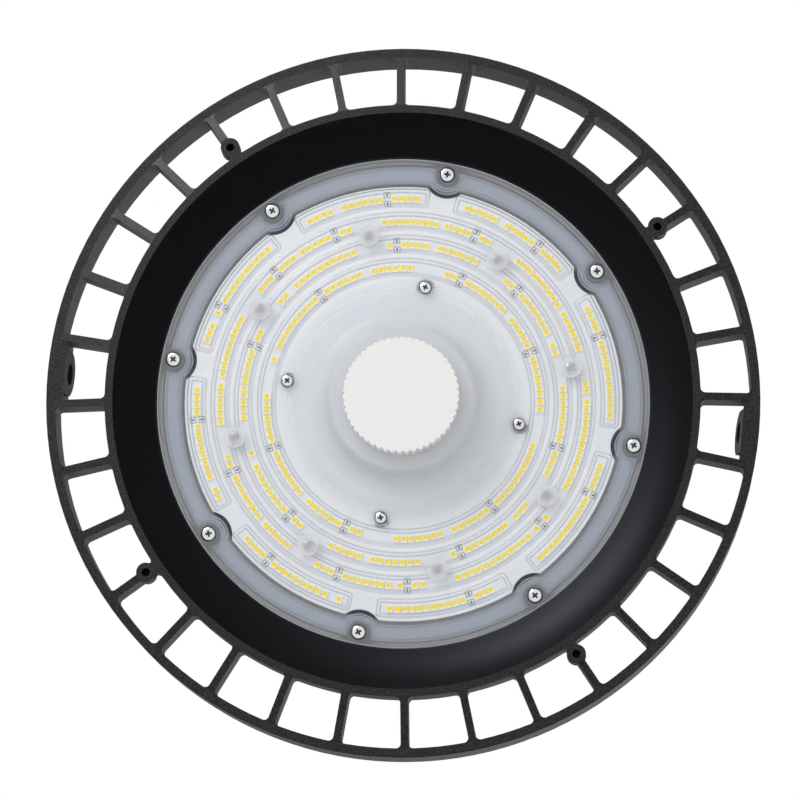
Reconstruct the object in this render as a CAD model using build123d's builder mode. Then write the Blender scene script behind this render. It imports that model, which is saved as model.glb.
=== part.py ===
"""High bay light: a finned casting with a ribbed outer rim, a clear lens over a round LED board,
a blank cap on the sensor port, and a driver housing with a hanging eye on top.

Sizes are millimetres. The light hangs lens down: +Z is up, the axis of the light is the Z axis,
the flat face of the sensor cap is z = 0, and the two bracket holes lie on the X axis.
"""

import os
from math import asin, cos, degrees, hypot, radians, sin, sqrt, tan

from build123d import *

os.makedirs("parts", exist_ok=True)

# Fits
sliding_clearance = 0.1
thread_clearance = 0.05
screw_clearance = 0.2
board_clearance = 0.4
touch_clearance = 0.3

# Sensor cap, and the socket that it screws on
cap_radius = 26.0
cap_height = 9.0
cap_face_thickness = 2.5
cap_edge_round = 0.6
cap_skirt_wall = 2.4
cap_outer_wall = 2.2
cap_skirt_depth = 5.5
knurl_count = 50
knurl_radius = 1.75
knurl_depth = 0.9
cap_seal_thickness = 1.2
cap_seal_width = 2.2
socket_nut_thickness = 2.8
socket_nut_width = 5.2
socket_nut_notch_count = 6
socket_radius = 19.0
socket_wall = 2.4
socket_flange_radius = 26.0
socket_flange_thickness = 2.5
socket_floor_thickness = 2.5
contact_count = 4
contact_radius = 0.8
contact_length = 6.0
contact_circle_radius = 5.0
contact_tail = 1.7

# Lens: a moulded sheet with raised bands over the LEDs and a turret under the sensor port
lens_radius = 110.7
lens_thickness = 1.8
lens_flange_thickness = 2.7
turret_height = 14.5
turret_radius = 31.6
turret_edge = 1.0
turret_base_radius = 34.3
turret_foot_round = 8.7
band_rise = 2.2
band_half_width = 4.4
band_slope = 1.0
band_pocket_half_width = 3.0
strip_half_angle = 19.05
strip_corner = 1.8
pad_radius = 4.9
pad_step = 0.6
screw_boss_radius = 4.9
screw_boss_rise = 0.8
lens_recess_radius = 3.75
screw_recess_radius = 3.35
screw_recess_depth = 1.6
inner_boss_radius = 4.2
rim_groove_depth = 0.6
rim_groove_width = 1.0
rim_groove_inset = 1.1
rim_groove_corner = 0.33
rim_groove_half_angle = 18.5
strip_draft = 20.0
strip_pocket_inset = 1.4

# LED board
board_thickness = 1.6
board_gap = 0.7
board_radius = 98.4
board_notch_radius = 10.5
board_hole_radius = 24.0
led_pitch = 3.31
led_length = 3.5
led_width = 2.8
led_thickness = 0.75
resistor_length = 2.0
resistor_width = 1.5
resistor_thickness = 0.5
resistor_offset = 2.0
wide_step = 0.61
led_ring_radii = (92.9, 82.4, 71.9, 61.4)

# Screws: 3.5 mm at the lens edge, M3 on the board, M4 for the rest
lens_screw_circle_radius = 105.3
lens_screw_count = 8
board_screw_circle_radius = 77.1
board_screw_count = 8
inner_screw_circle_radius = 53.0
inner_screw_count = 4
lens_screw_radius = 1.75
lens_head_radius = 3.35
small_screw_radius = 1.5
small_head_radius = 2.9
small_head_height = 1.9
small_screw_depth = 3.2
head_crown_share = 0.6
head_side_share = 0.45
large_screw_radius = 2.0
large_head_radius = 3.8
large_head_height = 2.8
large_screw_depth = 8.0
hole_tip = 0.8

# Body casting: front ring, concave cone, lens seat and rear plate
body_radius = 133.3
body_wall = 3.4
recess_depth = 15.2
cone_sag = 1.6
seat_radius = 111.2
groove_outer_radius = 107.6
groove_inner_radius = 100.0
groove_depth = 1.5
gasket_notch_radius = 8.9
gasket_screw_radius = 5.4
pocket_corner = 1.5
plate_thickness = 4.5
cone_wall = 3.2

# Outer rim, ribs and bosses on them
rim_radius = 160.0
rim_wall = 4.1
rim_height = 30.0
rim_setback = 5.0
edge_chamfer = 0.7
rib_count = 32
rib_width = 3.4
rib_depth = 20.0
window_corner = 2.2
rib_boss_count = 4
rib_boss_rib = 4
rib_boss_circle_radius = 138.1
rib_boss_radius = 4.3
rib_boss_web = 5.0
rib_boss_hole_radius = 1.85
rib_boss_length = 12.0
rib_boss_hole_depth = 9.0
bracket_hole_radius = 4.25
bracket_hole_mouth = 0.5
bracket_mouth_radius = 4.95
bracket_hole_setback = 12.0
bracket_boss_radius = 10.0
bracket_chord_depth = 3.5
bracket_boss_slant = 7.0

# Fins and driver compartment
fin_thickness = 2.2
fin_height = 24.0
fin_shoulder_radius = 100.0
fin_edge_inset = 2.5
short_fin_start_radius = 86.0
compartment_radius = 62.0
compartment_wall = 5.0
compartment_height = 26.4
housing_screw_count = 6
housing_lug_radius = 6.0
standoff_height = 4.0
standoff_radius = 5.0
wire_hole_radius = 9.0

# Driver housing
housing_gasket_thickness = 1.5
housing_gasket_width = 3.4
housing_wall = 3.0
housing_height = 56.0
housing_taper = 5.0
housing_flange_thickness = 4.0
housing_shoulder_round = 9.0
housing_top_thickness = 5.0
eye_boss_radius = 17.0
eye_boss_height = 4.0
eye_boss_draft = 5.0

# Hanging eye
eye_hole_radius = 11.0
eye_band = 8.0
eye_thickness = 10.0
eye_edge_round = 2.4
eye_sink = 3.0
eye_stem_radius = 6.0
eye_collar_radius = 14.0
eye_collar_height = 4.0
eye_washer_thickness = 1.5
eye_nut_flats = 19.0
eye_nut_height = 10.0
eye_stem_end = 2.0

# Cable gland on the +Y side of the driver housing
gland_height_up_wall = 27.0
gland_boss_radius = 13.5
gland_boss_reach = 3.0
gland_boss_depth = 9.0
gland_thread_radius = 8.0
gland_bore_radius = 5.6
gland_flats = 22.0
gland_hex_length = 6.0
gland_collar_radius = 9.0
gland_collar_length = 11.0
gland_nut_length = 14.0
gland_nut_mouth_radius = 5.5
gland_nut_dome = 5.0
gland_dome_inset = 4.5
gland_seal_length = 10.0
gland_thread_end = 2.0
gland_cable_radius = 4.5
gland_locknut_height = 4.0
gland_washer_thickness = 1.5

# Breather vent on the +X side of the driver housing roof
vent_distance = 38.0
vent_thread_radius = 6.0
vent_head_radius = 9.5
vent_head_height = 6.0
vent_edge_round = 1.5
vent_nut_flats = 16.0
vent_nut_height = 3.0
vent_thread_end = 1.0

# Driver, terminal block, earth screw and wires in the compartment
driver_length = 86.0
driver_width = 56.0
driver_height = 34.0
driver_corner = 4.0
driver_foot_length = 106.0
driver_foot_width = 22.0
driver_foot_thickness = 2.0
driver_screw_distance = 47.5
driver_edge_round = 1.5
terminal_length = 26.0
terminal_width = 14.0
terminal_height = 16.0
terminal_distance = 43.0
terminal_pole_count = 3
terminal_pole_pitch = 8.0
terminal_hole_radius = 2.2
terminal_screw_radius = 1.8
terminal_screw_sink = 1.1
terminal_corner = 0.9
terminal_hole_rise = 5.3
earth_distance = 43.0
earth_washer_radius = 5.0
earth_washer_thickness = 1.0
wire_radius = 1.1
wire_spacing = 2.5
wire_bend_radius = 8.0
sensor_wire_radius = 0.8
connector_length = 6.0
connector_width = 8.0
connector_height = 4.0
connector_distance = 27.5
connector_edge_round = 0.4
grommet_lip = 2.0
grommet_lip_thickness = 1.2
grommet_bore_radius = 6.4

# Angles about the axis, counter-clockwise from +X as seen from above
rib_pitch = 360.0 / rib_count
first_rib_angle = rib_pitch / 2
lens_screw_pitch = 360.0 / lens_screw_count
board_screw_angle = first_rib_angle + lens_screw_pitch / 2

# Levels along the axis, from the cap face up
socket_nut_z = cap_height + cap_seal_thickness
collar_z = socket_nut_z + socket_nut_thickness
lens_z = collar_z + turret_height
lens_inner_z = lens_z + lens_thickness
seat_z = lens_z + lens_flange_thickness
board_z = lens_inner_z + board_gap
plate_z = board_z + board_thickness
plate_back_z = plate_z + plate_thickness
front_z = seat_z - recess_depth
rim_z = front_z + rim_setback
compartment_top_z = plate_back_z + compartment_height
housing_z = compartment_top_z + housing_gasket_thickness
housing_top_z = housing_z + housing_height
housing_roof_z = housing_top_z - housing_top_thickness
eye_washer_z = housing_top_z + eye_boss_height
eye_z = eye_washer_z + eye_washer_thickness
eye_outer_radius = eye_hole_radius + eye_band
eye_centre_z = eye_z + eye_collar_height + eye_outer_radius - eye_sink
driver_z = plate_back_z + standoff_height
head_seat_z = lens_z - screw_boss_rise + screw_recess_depth
socket_flange_z = collar_z + lens_thickness
socket_back_z = socket_flange_z + socket_flange_thickness

# Radii that follow from others
rim_inner_radius = rim_radius - rim_wall
body_inner_radius = body_radius - body_wall
cap_body_radius = cap_radius - knurl_depth
socket_bore_radius = socket_radius - socket_wall
pocket_radius = board_radius + board_clearance
pocket_notch_radius = board_notch_radius - board_clearance
lens_step_radius = (pocket_radius + groove_inner_radius) / 2
lens_step_notch_radius = (pocket_notch_radius + gasket_notch_radius) / 2
housing_lug_circle_radius = compartment_radius + compartment_wall + housing_lug_radius
housing_foot_radius = compartment_radius + compartment_wall
housing_wall_radius = compartment_radius + housing_wall
housing_shoulder_radius = housing_wall_radius - housing_taper


def sector(inner_radius, outer_radius, half_angle, corner):
    """Face between two arcs about the axis, centred on +X, with rounded corners."""
    with BuildSketch() as face:
        with BuildLine():
            outer_arc = CenterArc((0, 0), outer_radius, -half_angle, 2 * half_angle)
            inner_arc = CenterArc((0, 0), inner_radius, -half_angle, 2 * half_angle)
            Line(outer_arc @ 0, inner_arc @ 0)
            Line(outer_arc @ 1, inner_arc @ 1)
        make_face()
        fillet(face.vertices(), corner)
    return face.sketch


def notched_disc(radius, notch_radius, corner):
    """Disc with a round notch at each lens screw."""
    with BuildSketch() as face:
        Circle(radius)
        with PolarLocations(lens_screw_circle_radius, lens_screw_count, first_rib_angle):
            Circle(notch_radius, mode=Mode.SUBTRACT)
        fillet(face.vertices(), corner)
    return face.sketch


def pan_screw(radius, head_radius, head_height, length):
    """Pan head screw with its head down: the head's seat is z = 0 and the shank goes up."""
    crown_radius = head_radius * head_crown_share
    with BuildPart() as screw:
        with BuildSketch(Plane.XZ):
            with BuildLine():
                Polyline(
                    (0, -head_height),
                    (crown_radius, -head_height),
                    (head_radius, -head_height * head_side_share),
                    (head_radius, 0),
                    (radius, 0),
                    (radius, length),
                    (0, length),
                    close=True,
                )
            make_face()
        revolve(axis=Axis.Z)
    return screw.part


def ring_of_screws(screw, circle_radius, count, start_angle, seat):
    """Copies of one screw on a circle about the axis, seated at the height given."""
    with BuildPart() as ring:
        with Locations((0, 0, seat)):
            with PolarLocations(circle_radius, count, start_angle):
                add(screw)
    return ring.part


def save(part, name):
    """Label a finished piece and write it to its own file."""
    part.label = name
    export_step(part, f"parts/{name}.step")


# Heat sink: the casting that carries every other piece
cone_start = (body_inner_radius, front_z)
cone_end = (seat_radius, lens_z - screw_boss_rise)
cone_run = (cone_start[0] - cone_end[0], cone_end[1] - cone_start[1])
cone_length = hypot(*cone_run)
cone_normal = (cone_run[1] / cone_length, cone_run[0] / cone_length)
cone_middle = (
    (cone_start[0] + cone_end[0]) / 2 + cone_normal[0] * cone_sag,
    (cone_start[1] + cone_end[1]) / 2 + cone_normal[1] * cone_sag,
)
cone_back = (cone_wall + cone_sag) / cone_normal[0]
trough_z = front_z + cone_back * cone_normal[0] / cone_normal[1]
trough_radius = cone_end[0] + cone_back - (plate_back_z - cone_end[1]) * cone_run[0] / cone_run[1]
rib_back_z = front_z + rib_depth

with BuildPart() as fin:
    with BuildSketch(Plane.XZ):
        with BuildLine():
            Polyline(
                (compartment_radius + compartment_wall / 2, plate_back_z - plate_thickness / 2),
                (compartment_radius + compartment_wall / 2, plate_back_z + fin_height),
                (fin_shoulder_radius, plate_back_z + fin_height),
                (body_radius - fin_edge_inset, plate_back_z),
                (body_radius - fin_edge_inset, front_z + body_wall),
                (seat_radius + cone_wall / 2, plate_back_z - plate_thickness / 2),
                close=True,
            )
        make_face()
    extrude(amount=fin_thickness / 2, both=True)

with BuildPart() as short_fin:
    add(fin.part)
    split(bisect_by=Plane.YZ.offset(short_fin_start_radius), keep=Keep.TOP)

window_half_angle = rib_pitch / 2
outer_corner_angle = window_half_angle - degrees(asin(rib_width / 2 / rim_inner_radius))
inner_corner_angle = window_half_angle - degrees(asin(rib_width / 2 / body_radius))
with BuildSketch() as window:
    with BuildLine():
        rim_arc = CenterArc((0, 0), rim_inner_radius, -outer_corner_angle, 2 * outer_corner_angle)
        body_arc = CenterArc((0, 0), body_radius, -inner_corner_angle, 2 * inner_corner_angle)
        Line(rim_arc @ 0, body_arc @ 0)
        Line(rim_arc @ 1, body_arc @ 1)
    make_face()
    fillet(window.vertices(), window_corner)

# Bracket boss: a tombstone on the inside of the rim, thicker towards the back
chord_x = rim_inner_radius - bracket_chord_depth
bracket_z = rim_z + bracket_hole_setback
boss_end_z = bracket_z + bracket_boss_radius
boss_face_x = chord_x - (boss_end_z - rim_z) * tan(radians(bracket_boss_slant))
rim_middle_radius = rim_radius - rim_wall / 2
with BuildPart() as bracket_boss:
    with BuildSketch(Plane.XZ):
        with BuildLine():
            Polyline(
                (rim_middle_radius, rim_z),
                (chord_x, rim_z),
                (boss_face_x, boss_end_z),
                (rim_middle_radius, boss_end_z),
                close=True,
            )
        make_face()
    extrude(amount=bracket_boss_radius, both=True)
    with BuildSketch(Plane.YZ.offset(boss_face_x)) as tombstone:
        with Locations((0, bracket_z)):
            Circle(bracket_boss_radius)
            with Locations((0, -bracket_hole_setback / 2)):
                Rectangle(2 * bracket_boss_radius, bracket_hole_setback)
    extrude(amount=rim_radius - boss_face_x, mode=Mode.INTERSECT)

chord_half_width = rim_inner_radius * sin(radians(outer_corner_angle)) + rib_width / 4
with BuildPart() as bracket_chord:
    with BuildSketch(Plane.XY.offset(rim_z)):
        with Locations(((chord_x + rim_middle_radius) / 2, 0)):
            Rectangle(rim_middle_radius - chord_x, 2 * chord_half_width)
    extrude(amount=rim_height)

with BuildPart() as windows:
    with BuildSketch(Plane.XY.offset(front_z)):
        with PolarLocations(0, rib_count):
            add(window.sketch)
    extrude(amount=rim_setback + rim_height)

# Everything that stands on the turned form: fins, compartment, lugs, standoffs and bosses
boss_angle = first_rib_angle + rib_boss_rib * rib_pitch
web_start_radius = body_radius - body_wall / 2
with BuildPart() as sink_features:
    with BuildSketch(Plane.XY.offset(plate_back_z)):
        Circle(compartment_radius + compartment_wall)
        Circle(compartment_radius, mode=Mode.SUBTRACT)
    extrude(amount=compartment_height)
    with BuildSketch(Plane.XY.offset(plate_back_z)):
        with PolarLocations(housing_lug_circle_radius, housing_screw_count):
            Circle(housing_lug_radius)
    extrude(amount=compartment_height + housing_gasket_thickness)
    with BuildSketch(Plane.XY.offset(plate_back_z)):
        with PolarLocations(driver_screw_distance, 2):
            Circle(standoff_radius)
    extrude(amount=standoff_height)
    with BuildSketch(Plane.XY.offset(front_z)):
        with PolarLocations(rib_boss_circle_radius, rib_boss_count, boss_angle):
            Circle(rib_boss_radius)
        with PolarLocations(
            (rib_boss_circle_radius + web_start_radius) / 2, rib_boss_count, boss_angle
        ):
            Rectangle(rib_boss_circle_radius - web_start_radius, rib_boss_web)
    extrude(amount=rib_boss_length)
    with PolarLocations(0, rib_count, first_rib_angle):
        add(fin.part)
    with PolarLocations(0, rib_count):
        add(short_fin.part)
    with PolarLocations(0, 2):
        add(bracket_chord.part)
        add(bracket_boss.part)

# Board pocket, gasket groove and every hole
thread_start_x = chord_x + bracket_hole_mouth
with BuildPart() as sink_cuts:
    with BuildSketch(Plane.XY.offset(seat_z)):
        add(notched_disc(pocket_radius, pocket_notch_radius, pocket_corner))
    extrude(amount=plate_z - seat_z)
    with BuildSketch(Plane.XY.offset(seat_z)):
        Circle(groove_outer_radius)
        add(
            notched_disc(groove_inner_radius, gasket_notch_radius, pocket_corner),
            mode=Mode.SUBTRACT,
        )
        with PolarLocations(lens_screw_circle_radius, lens_screw_count, first_rib_angle):
            Circle(gasket_screw_radius, mode=Mode.SUBTRACT)
    extrude(amount=groove_depth)
    with BuildSketch(Plane.XY.offset(seat_z)):
        with PolarLocations(lens_screw_circle_radius, lens_screw_count, first_rib_angle):
            Circle(lens_screw_radius + thread_clearance)
    extrude(amount=small_screw_depth + hole_tip)
    with BuildSketch(Plane.XY.offset(plate_z)):
        with PolarLocations(board_screw_circle_radius, board_screw_count, board_screw_angle):
            Circle(small_screw_radius + thread_clearance)
        with PolarLocations(inner_screw_circle_radius, inner_screw_count, first_rib_angle):
            Circle(small_screw_radius + thread_clearance)
    extrude(amount=small_screw_depth + hole_tip)
    with BuildSketch(Plane.XY.offset(plate_z)):
        Circle(wire_hole_radius)
    extrude(amount=plate_thickness)
    with BuildSketch(Plane.XY.offset(front_z)):
        with PolarLocations(rib_boss_circle_radius, rib_boss_count, boss_angle):
            Circle(rib_boss_hole_radius)
    extrude(amount=rib_boss_hole_depth)
    with BuildSketch(Plane.XY.offset(housing_z)):
        with PolarLocations(housing_lug_circle_radius, housing_screw_count):
            Circle(large_screw_radius + thread_clearance)
    extrude(amount=-large_screw_depth - hole_tip)
    with BuildSketch(Plane.XY.offset(driver_z)):
        with PolarLocations(driver_screw_distance, 2):
            Circle(large_screw_radius + thread_clearance)
    extrude(amount=-standoff_height)
    with BuildSketch(Plane.XY.offset(plate_back_z)):
        with Locations((0, -earth_distance)):
            Circle(large_screw_radius + thread_clearance)
    extrude(amount=hole_tip - plate_thickness)
    # Bracket holes, tapped through the rim and opened out through the boss
    for side in (1, -1):
        with BuildSketch(Plane.YZ.offset(side * boss_face_x)):
            with Locations((0, bracket_z)):
                Circle(bracket_hole_radius)
        extrude(amount=side * (rim_radius - boss_face_x))
        with BuildSketch(Plane.YZ.offset(side * (boss_face_x - bracket_boss_slant))):
            with Locations((0, bracket_z)):
                Circle(bracket_mouth_radius)
        extrude(amount=side * (thread_start_x - boss_face_x + bracket_boss_slant))

with BuildPart() as heat_sink:
    with BuildSketch(Plane.XZ):
        with BuildLine():
            Polyline(
                (0, plate_back_z),
                (0, seat_z),
                (seat_radius, seat_z),
                cone_end,
            )
            ThreePointArc(cone_end, cone_middle, cone_start)
            Polyline(
                cone_start,
                (body_radius, front_z),
                (rim_inner_radius, rim_z),
                (rim_radius - edge_chamfer, rim_z),
                (rim_radius, rim_z + edge_chamfer),
                (rim_radius, rim_z + rim_height),
                (rim_inner_radius, rim_z + rim_height),
                (rim_inner_radius, rim_z + rib_depth),
                (body_radius, rib_back_z),
                (body_radius, plate_back_z),
                (body_inner_radius, plate_back_z),
                (body_inner_radius, trough_z),
                (trough_radius, plate_back_z),
                (0, plate_back_z),
            )
        make_face()
    revolve(axis=Axis.Z)
    add(windows.part, mode=Mode.SUBTRACT)
    add(sink_features.part)
    add(sink_cuts.part, mode=Mode.SUBTRACT)
save(heat_sink.part, "heat_sink")


# Lens: turned form, then the strips over the outer LEDs, pads, bosses and holes
half_turn = sqrt(0.5)


def band_points(radius, level, outside_half, inside_half):
    """Corners of one raised band over an LED ring, from outside to inside."""
    return [
        (radius + outside_half, level),
        (radius + inside_half, level - band_rise),
        (radius - inside_half, level - band_rise),
        (radius - outside_half, level),
    ]


def band_profile(level, outside_half, inside_half):
    """Corners of all the full bands at one face of the lens, from outside to inside."""
    points = []
    for radius in led_ring_radii[1:]:
        points += band_points(radius, level, outside_half, inside_half)
    return points


turret_centre = (turret_base_radius + turret_foot_round, lens_z - turret_foot_round)
turret_side_z = turret_centre[1]
inner_round = turret_foot_round + lens_thickness
socket_hole_radius = socket_radius + sliding_clearance
pocket_half_width = band_pocket_half_width
pad_z = lens_z - band_rise + pad_step
pad_inner_z = board_z - small_head_height - touch_clearance
with BuildPart() as lens:
    with BuildSketch(Plane.XZ):
        with BuildLine():
            Polyline(
                (lens_step_radius, seat_z),
                (lens_radius, seat_z),
                (lens_radius, lens_z),
                *band_profile(lens_z, band_half_width, band_half_width - band_slope),
                (turret_centre[0], lens_z),
            )
            ThreePointArc(
                (turret_centre[0], lens_z),
                (
                    turret_centre[0] - half_turn * turret_foot_round,
                    turret_centre[1] + half_turn * turret_foot_round,
                ),
                (turret_base_radius, turret_side_z),
            )
            Polyline(
                (turret_base_radius, turret_side_z),
                (turret_radius + turret_edge, collar_z + turret_edge),
                (turret_radius, collar_z),
                (socket_hole_radius, collar_z),
                (socket_hole_radius, socket_flange_z),
                (turret_radius + turret_edge - lens_thickness, socket_flange_z),
                (turret_base_radius - lens_thickness, turret_side_z),
            )
            ThreePointArc(
                (turret_base_radius - lens_thickness, turret_side_z),
                (
                    turret_centre[0] - half_turn * inner_round,
                    turret_centre[1] + half_turn * inner_round,
                ),
                (turret_centre[0], lens_inner_z),
            )
            Polyline(
                (turret_centre[0], lens_inner_z),
                *reversed(
                    band_profile(lens_inner_z, pocket_half_width, pocket_half_width - band_slope)
                ),
                (lens_step_radius, lens_inner_z),
                (lens_step_radius, seat_z),
            )
        make_face()
    revolve(axis=Axis.Z)
    with BuildSketch(Plane.XY.offset(lens_z)):
        with PolarLocations(0, lens_screw_count, board_screw_angle):
            add(
                sector(
                    led_ring_radii[0] - band_half_width,
                    led_ring_radii[0] + band_half_width,
                    strip_half_angle,
                    strip_corner,
                )
            )
    extrude(amount=-band_rise, taper=strip_draft)
    with BuildSketch(Plane.XY.offset(pad_z)):
        with PolarLocations(board_screw_circle_radius, board_screw_count, board_screw_angle):
            Circle(pad_radius)
    extrude(amount=pad_inner_z - pad_z)
    with BuildSketch(Plane.XY.offset(lens_inner_z)):
        with PolarLocations(lens_screw_circle_radius, lens_screw_count, first_rib_angle):
            Circle(lens_step_notch_radius)
        Circle(lens_radius, mode=Mode.INTERSECT)
    extrude(amount=seat_z - lens_inner_z)
    with BuildSketch(Plane.XY.offset(lens_z - screw_boss_rise)):
        with PolarLocations(lens_screw_circle_radius, lens_screw_count, first_rib_angle):
            Circle(screw_boss_radius)
    extrude(amount=screw_boss_rise)
    with BuildSketch(Plane.XY.offset(lens_z)):
        with PolarLocations(inner_screw_circle_radius, inner_screw_count, first_rib_angle):
            Circle(inner_boss_radius)
    extrude(amount=board_z - lens_z)
    with BuildSketch(Plane.XY.offset(lens_z - screw_boss_rise)):
        with PolarLocations(lens_screw_circle_radius, lens_screw_count, first_rib_angle):
            Circle(lens_recess_radius)
        with PolarLocations(inner_screw_circle_radius, inner_screw_count, first_rib_angle):
            Circle(screw_recess_radius)
    extrude(amount=screw_recess_depth, mode=Mode.SUBTRACT)
    with BuildSketch(Plane.XY.offset(head_seat_z)):
        with PolarLocations(lens_screw_circle_radius, lens_screw_count, first_rib_angle):
            Circle(lens_screw_radius + screw_clearance)
        with PolarLocations(inner_screw_circle_radius, inner_screw_count, first_rib_angle):
            Circle(small_screw_radius + screw_clearance)
    extrude(amount=seat_z - head_seat_z, mode=Mode.SUBTRACT)
    with BuildSketch(Plane.XY.offset(lens_inner_z)):
        with PolarLocations(0, lens_screw_count, board_screw_angle):
            add(
                sector(
                    led_ring_radii[0] - pocket_half_width,
                    led_ring_radii[0] + pocket_half_width,
                    strip_half_angle - degrees(strip_pocket_inset / led_ring_radii[0]),
                    strip_corner / 2,
                )
            )
    extrude(amount=-band_rise, taper=strip_draft, mode=Mode.SUBTRACT)
    with BuildSketch(Plane.XY.offset(lens_inner_z)):
        with PolarLocations(board_screw_circle_radius, board_screw_count, board_screw_angle):
            Circle(screw_recess_radius)
    extrude(amount=pad_inner_z - lens_inner_z, mode=Mode.SUBTRACT)
    with BuildSketch(Plane.XY.offset(seat_z)):
        with PolarLocations(0, lens_screw_count, board_screw_angle):
            add(
                sector(
                    lens_radius - rim_groove_inset - rim_groove_width,
                    lens_radius - rim_groove_inset,
                    rim_groove_half_angle,
                    rim_groove_corner,
                )
            )
    extrude(amount=-rim_groove_depth, mode=Mode.SUBTRACT)
save(lens.part, "lens")

# Lens gasket: a flat silicone ring that passes inside each lens screw
with BuildPart() as lens_gasket:
    with BuildSketch(Plane.XY.offset(seat_z)):
        Circle(groove_outer_radius - sliding_clearance)
        add(
            notched_disc(
                groove_inner_radius + sliding_clearance,
                gasket_notch_radius - sliding_clearance,
                pocket_corner,
            ),
            mode=Mode.SUBTRACT,
        )
        with PolarLocations(lens_screw_circle_radius, lens_screw_count, first_rib_angle):
            Circle(gasket_screw_radius + sliding_clearance, mode=Mode.SUBTRACT)
    extrude(amount=groove_depth)
save(lens_gasket.part, "lens_gasket")

# LED board
with BuildPart() as led_board:
    with BuildSketch(Plane.XY.offset(board_z)):
        add(notched_disc(board_radius, board_notch_radius, pocket_corner))
        Circle(board_hole_radius, mode=Mode.SUBTRACT)
        with PolarLocations(inner_screw_circle_radius, inner_screw_count, first_rib_angle):
            Circle(small_screw_radius + screw_clearance, mode=Mode.SUBTRACT)
        with PolarLocations(board_screw_circle_radius, board_screw_count, board_screw_angle):
            Circle(small_screw_radius + screw_clearance, mode=Mode.SUBTRACT)
    extrude(amount=board_thickness)
save(led_board.part, "led_board")

# LEDs stand in runs between the screws, clockwise from the first board screw as seen from above.
# Each run gives the places that resistor pairs take, the places left bare, and the place that a
# wider step follows.
outer_runs = (
    ((11,), (), None),
    ((11,), (), None),
    ((4,), (10,), None),
    ((4,), (11,), None),
    ((10,), (12,), None),
    ((4,), (13,), None),
    ((4,), (14,), None),
    ((11,), (15,), None),
)
second_runs = (
    ((), (), 12),
    ((), (), 5),
    ((2,), (), 6),
    ((2, 11), (), 7),
    ((), (), 8),
    ((2,), (), 9),
    ((3, 12), (), 10),
    ((13,), (), 11),
)
third_runs = (
    ((4,), (), None),
    ((10,), (2,), None),
    ((11,), (6,), None),
    ((), (10,), None),
    ((2,), (), None),
    ((10,), (1,), None),
    ((), (5,), None),
    ((1,), (9,), None),
)
inner_runs = (
    ((8, 22), (14,), None),
    ((13,), (6, 23), None),
    ((7, 22), (15,), None),
    ((14,), (7,), None),
)
outer_start = board_screw_angle
gap_start = board_screw_angle - lens_screw_pitch / 2
inner_start = first_rib_angle - 180.0 / inner_screw_count
led_rings = (
    (led_ring_radii[0], outer_start, 16, outer_runs),
    (led_ring_radii[1], gap_start, 15, second_runs),
    (led_ring_radii[2], gap_start, 13, third_runs),
    (led_ring_radii[3], inner_start, 25, inner_runs),
)
led_places = []
resistor_places = []
for ring_radius, start_angle, place_count, runs in led_rings:
    step = degrees(led_pitch / ring_radius)
    for index, (resistors, bare, wide_after) in enumerate(runs):
        middle = start_angle - index * 360.0 / len(runs)
        wide = 0 if wide_after is None else wide_step
        first = middle + (place_count - 1 + wide) / 2 * step
        for place in range(place_count):
            passed = wide if wide and place > wide_after else 0
            angle = first - (place + passed) * step
            if place in resistors:
                resistor_places += [
                    Rot(0, 0, angle) * Pos(ring_radius + side * resistor_offset, 0)
                    for side in (-1, 1)
                ]
            elif place not in bare:
                led_places.append(Rot(0, 0, angle) * Pos(ring_radius, 0))

with BuildPart() as led_packages:
    with BuildSketch(Plane.XY.offset(board_z)):
        with Locations(led_places):
            Rectangle(led_length, led_width)
    extrude(amount=-led_thickness)
save(led_packages.part, "led_packages")

with BuildPart() as board_resistors:
    with BuildSketch(Plane.XY.offset(board_z)):
        with Locations(resistor_places):
            Rectangle(resistor_length, resistor_width)
    extrude(amount=-resistor_thickness)
save(board_resistors.part, "board_resistors")

# Screws of the lens and the board
lens_screw = pan_screw(
    lens_screw_radius, lens_head_radius, small_head_height, seat_z + small_screw_depth - head_seat_z
)
inner_screw = pan_screw(
    small_screw_radius,
    small_head_radius,
    small_head_height,
    plate_z + small_screw_depth - head_seat_z,
)
board_screw = pan_screw(
    small_screw_radius, small_head_radius, small_head_height, board_thickness + small_screw_depth
)
lens_screws = ring_of_screws(
    lens_screw, lens_screw_circle_radius, lens_screw_count, first_rib_angle, head_seat_z
)
save(lens_screws, "lens_screws")
inner_screws = ring_of_screws(
    inner_screw, inner_screw_circle_radius, inner_screw_count, first_rib_angle, head_seat_z
)
save(inner_screws, "inner_lens_screws")
board_screws = ring_of_screws(
    board_screw, board_screw_circle_radius, board_screw_count, board_screw_angle, board_z
)
save(board_screws, "board_screws")

# Sensor port: socket in the lens turret, ring nut, seal, contacts and the blank cap
socket_end_z = cap_face_thickness + touch_clearance
with BuildPart() as sensor_socket:
    with BuildSketch(Plane.XZ):
        with BuildLine():
            Polyline(
                (0, socket_back_z - socket_floor_thickness),
                (socket_bore_radius, socket_back_z - socket_floor_thickness),
                (socket_bore_radius, socket_end_z),
                (socket_radius, socket_end_z),
                (socket_radius, socket_flange_z),
                (socket_flange_radius, socket_flange_z),
                (socket_flange_radius, socket_back_z),
                (0, socket_back_z),
                close=True,
            )
        make_face()
    revolve(axis=Axis.Z)
    with BuildSketch(Plane.XY.offset(socket_back_z)):
        with PolarLocations(contact_circle_radius, contact_count, 180.0 / contact_count):
            Circle(contact_radius + thread_clearance)
    extrude(amount=-socket_floor_thickness, mode=Mode.SUBTRACT)
save(sensor_socket.part, "sensor_socket")

with BuildPart() as socket_contacts:
    with BuildSketch(Plane.XY.offset(socket_back_z + contact_tail)):
        with PolarLocations(contact_circle_radius, contact_count, 180.0 / contact_count):
            Circle(contact_radius)
    extrude(amount=-contact_tail - socket_floor_thickness - contact_length)
save(socket_contacts.part, "socket_contacts")

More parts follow.
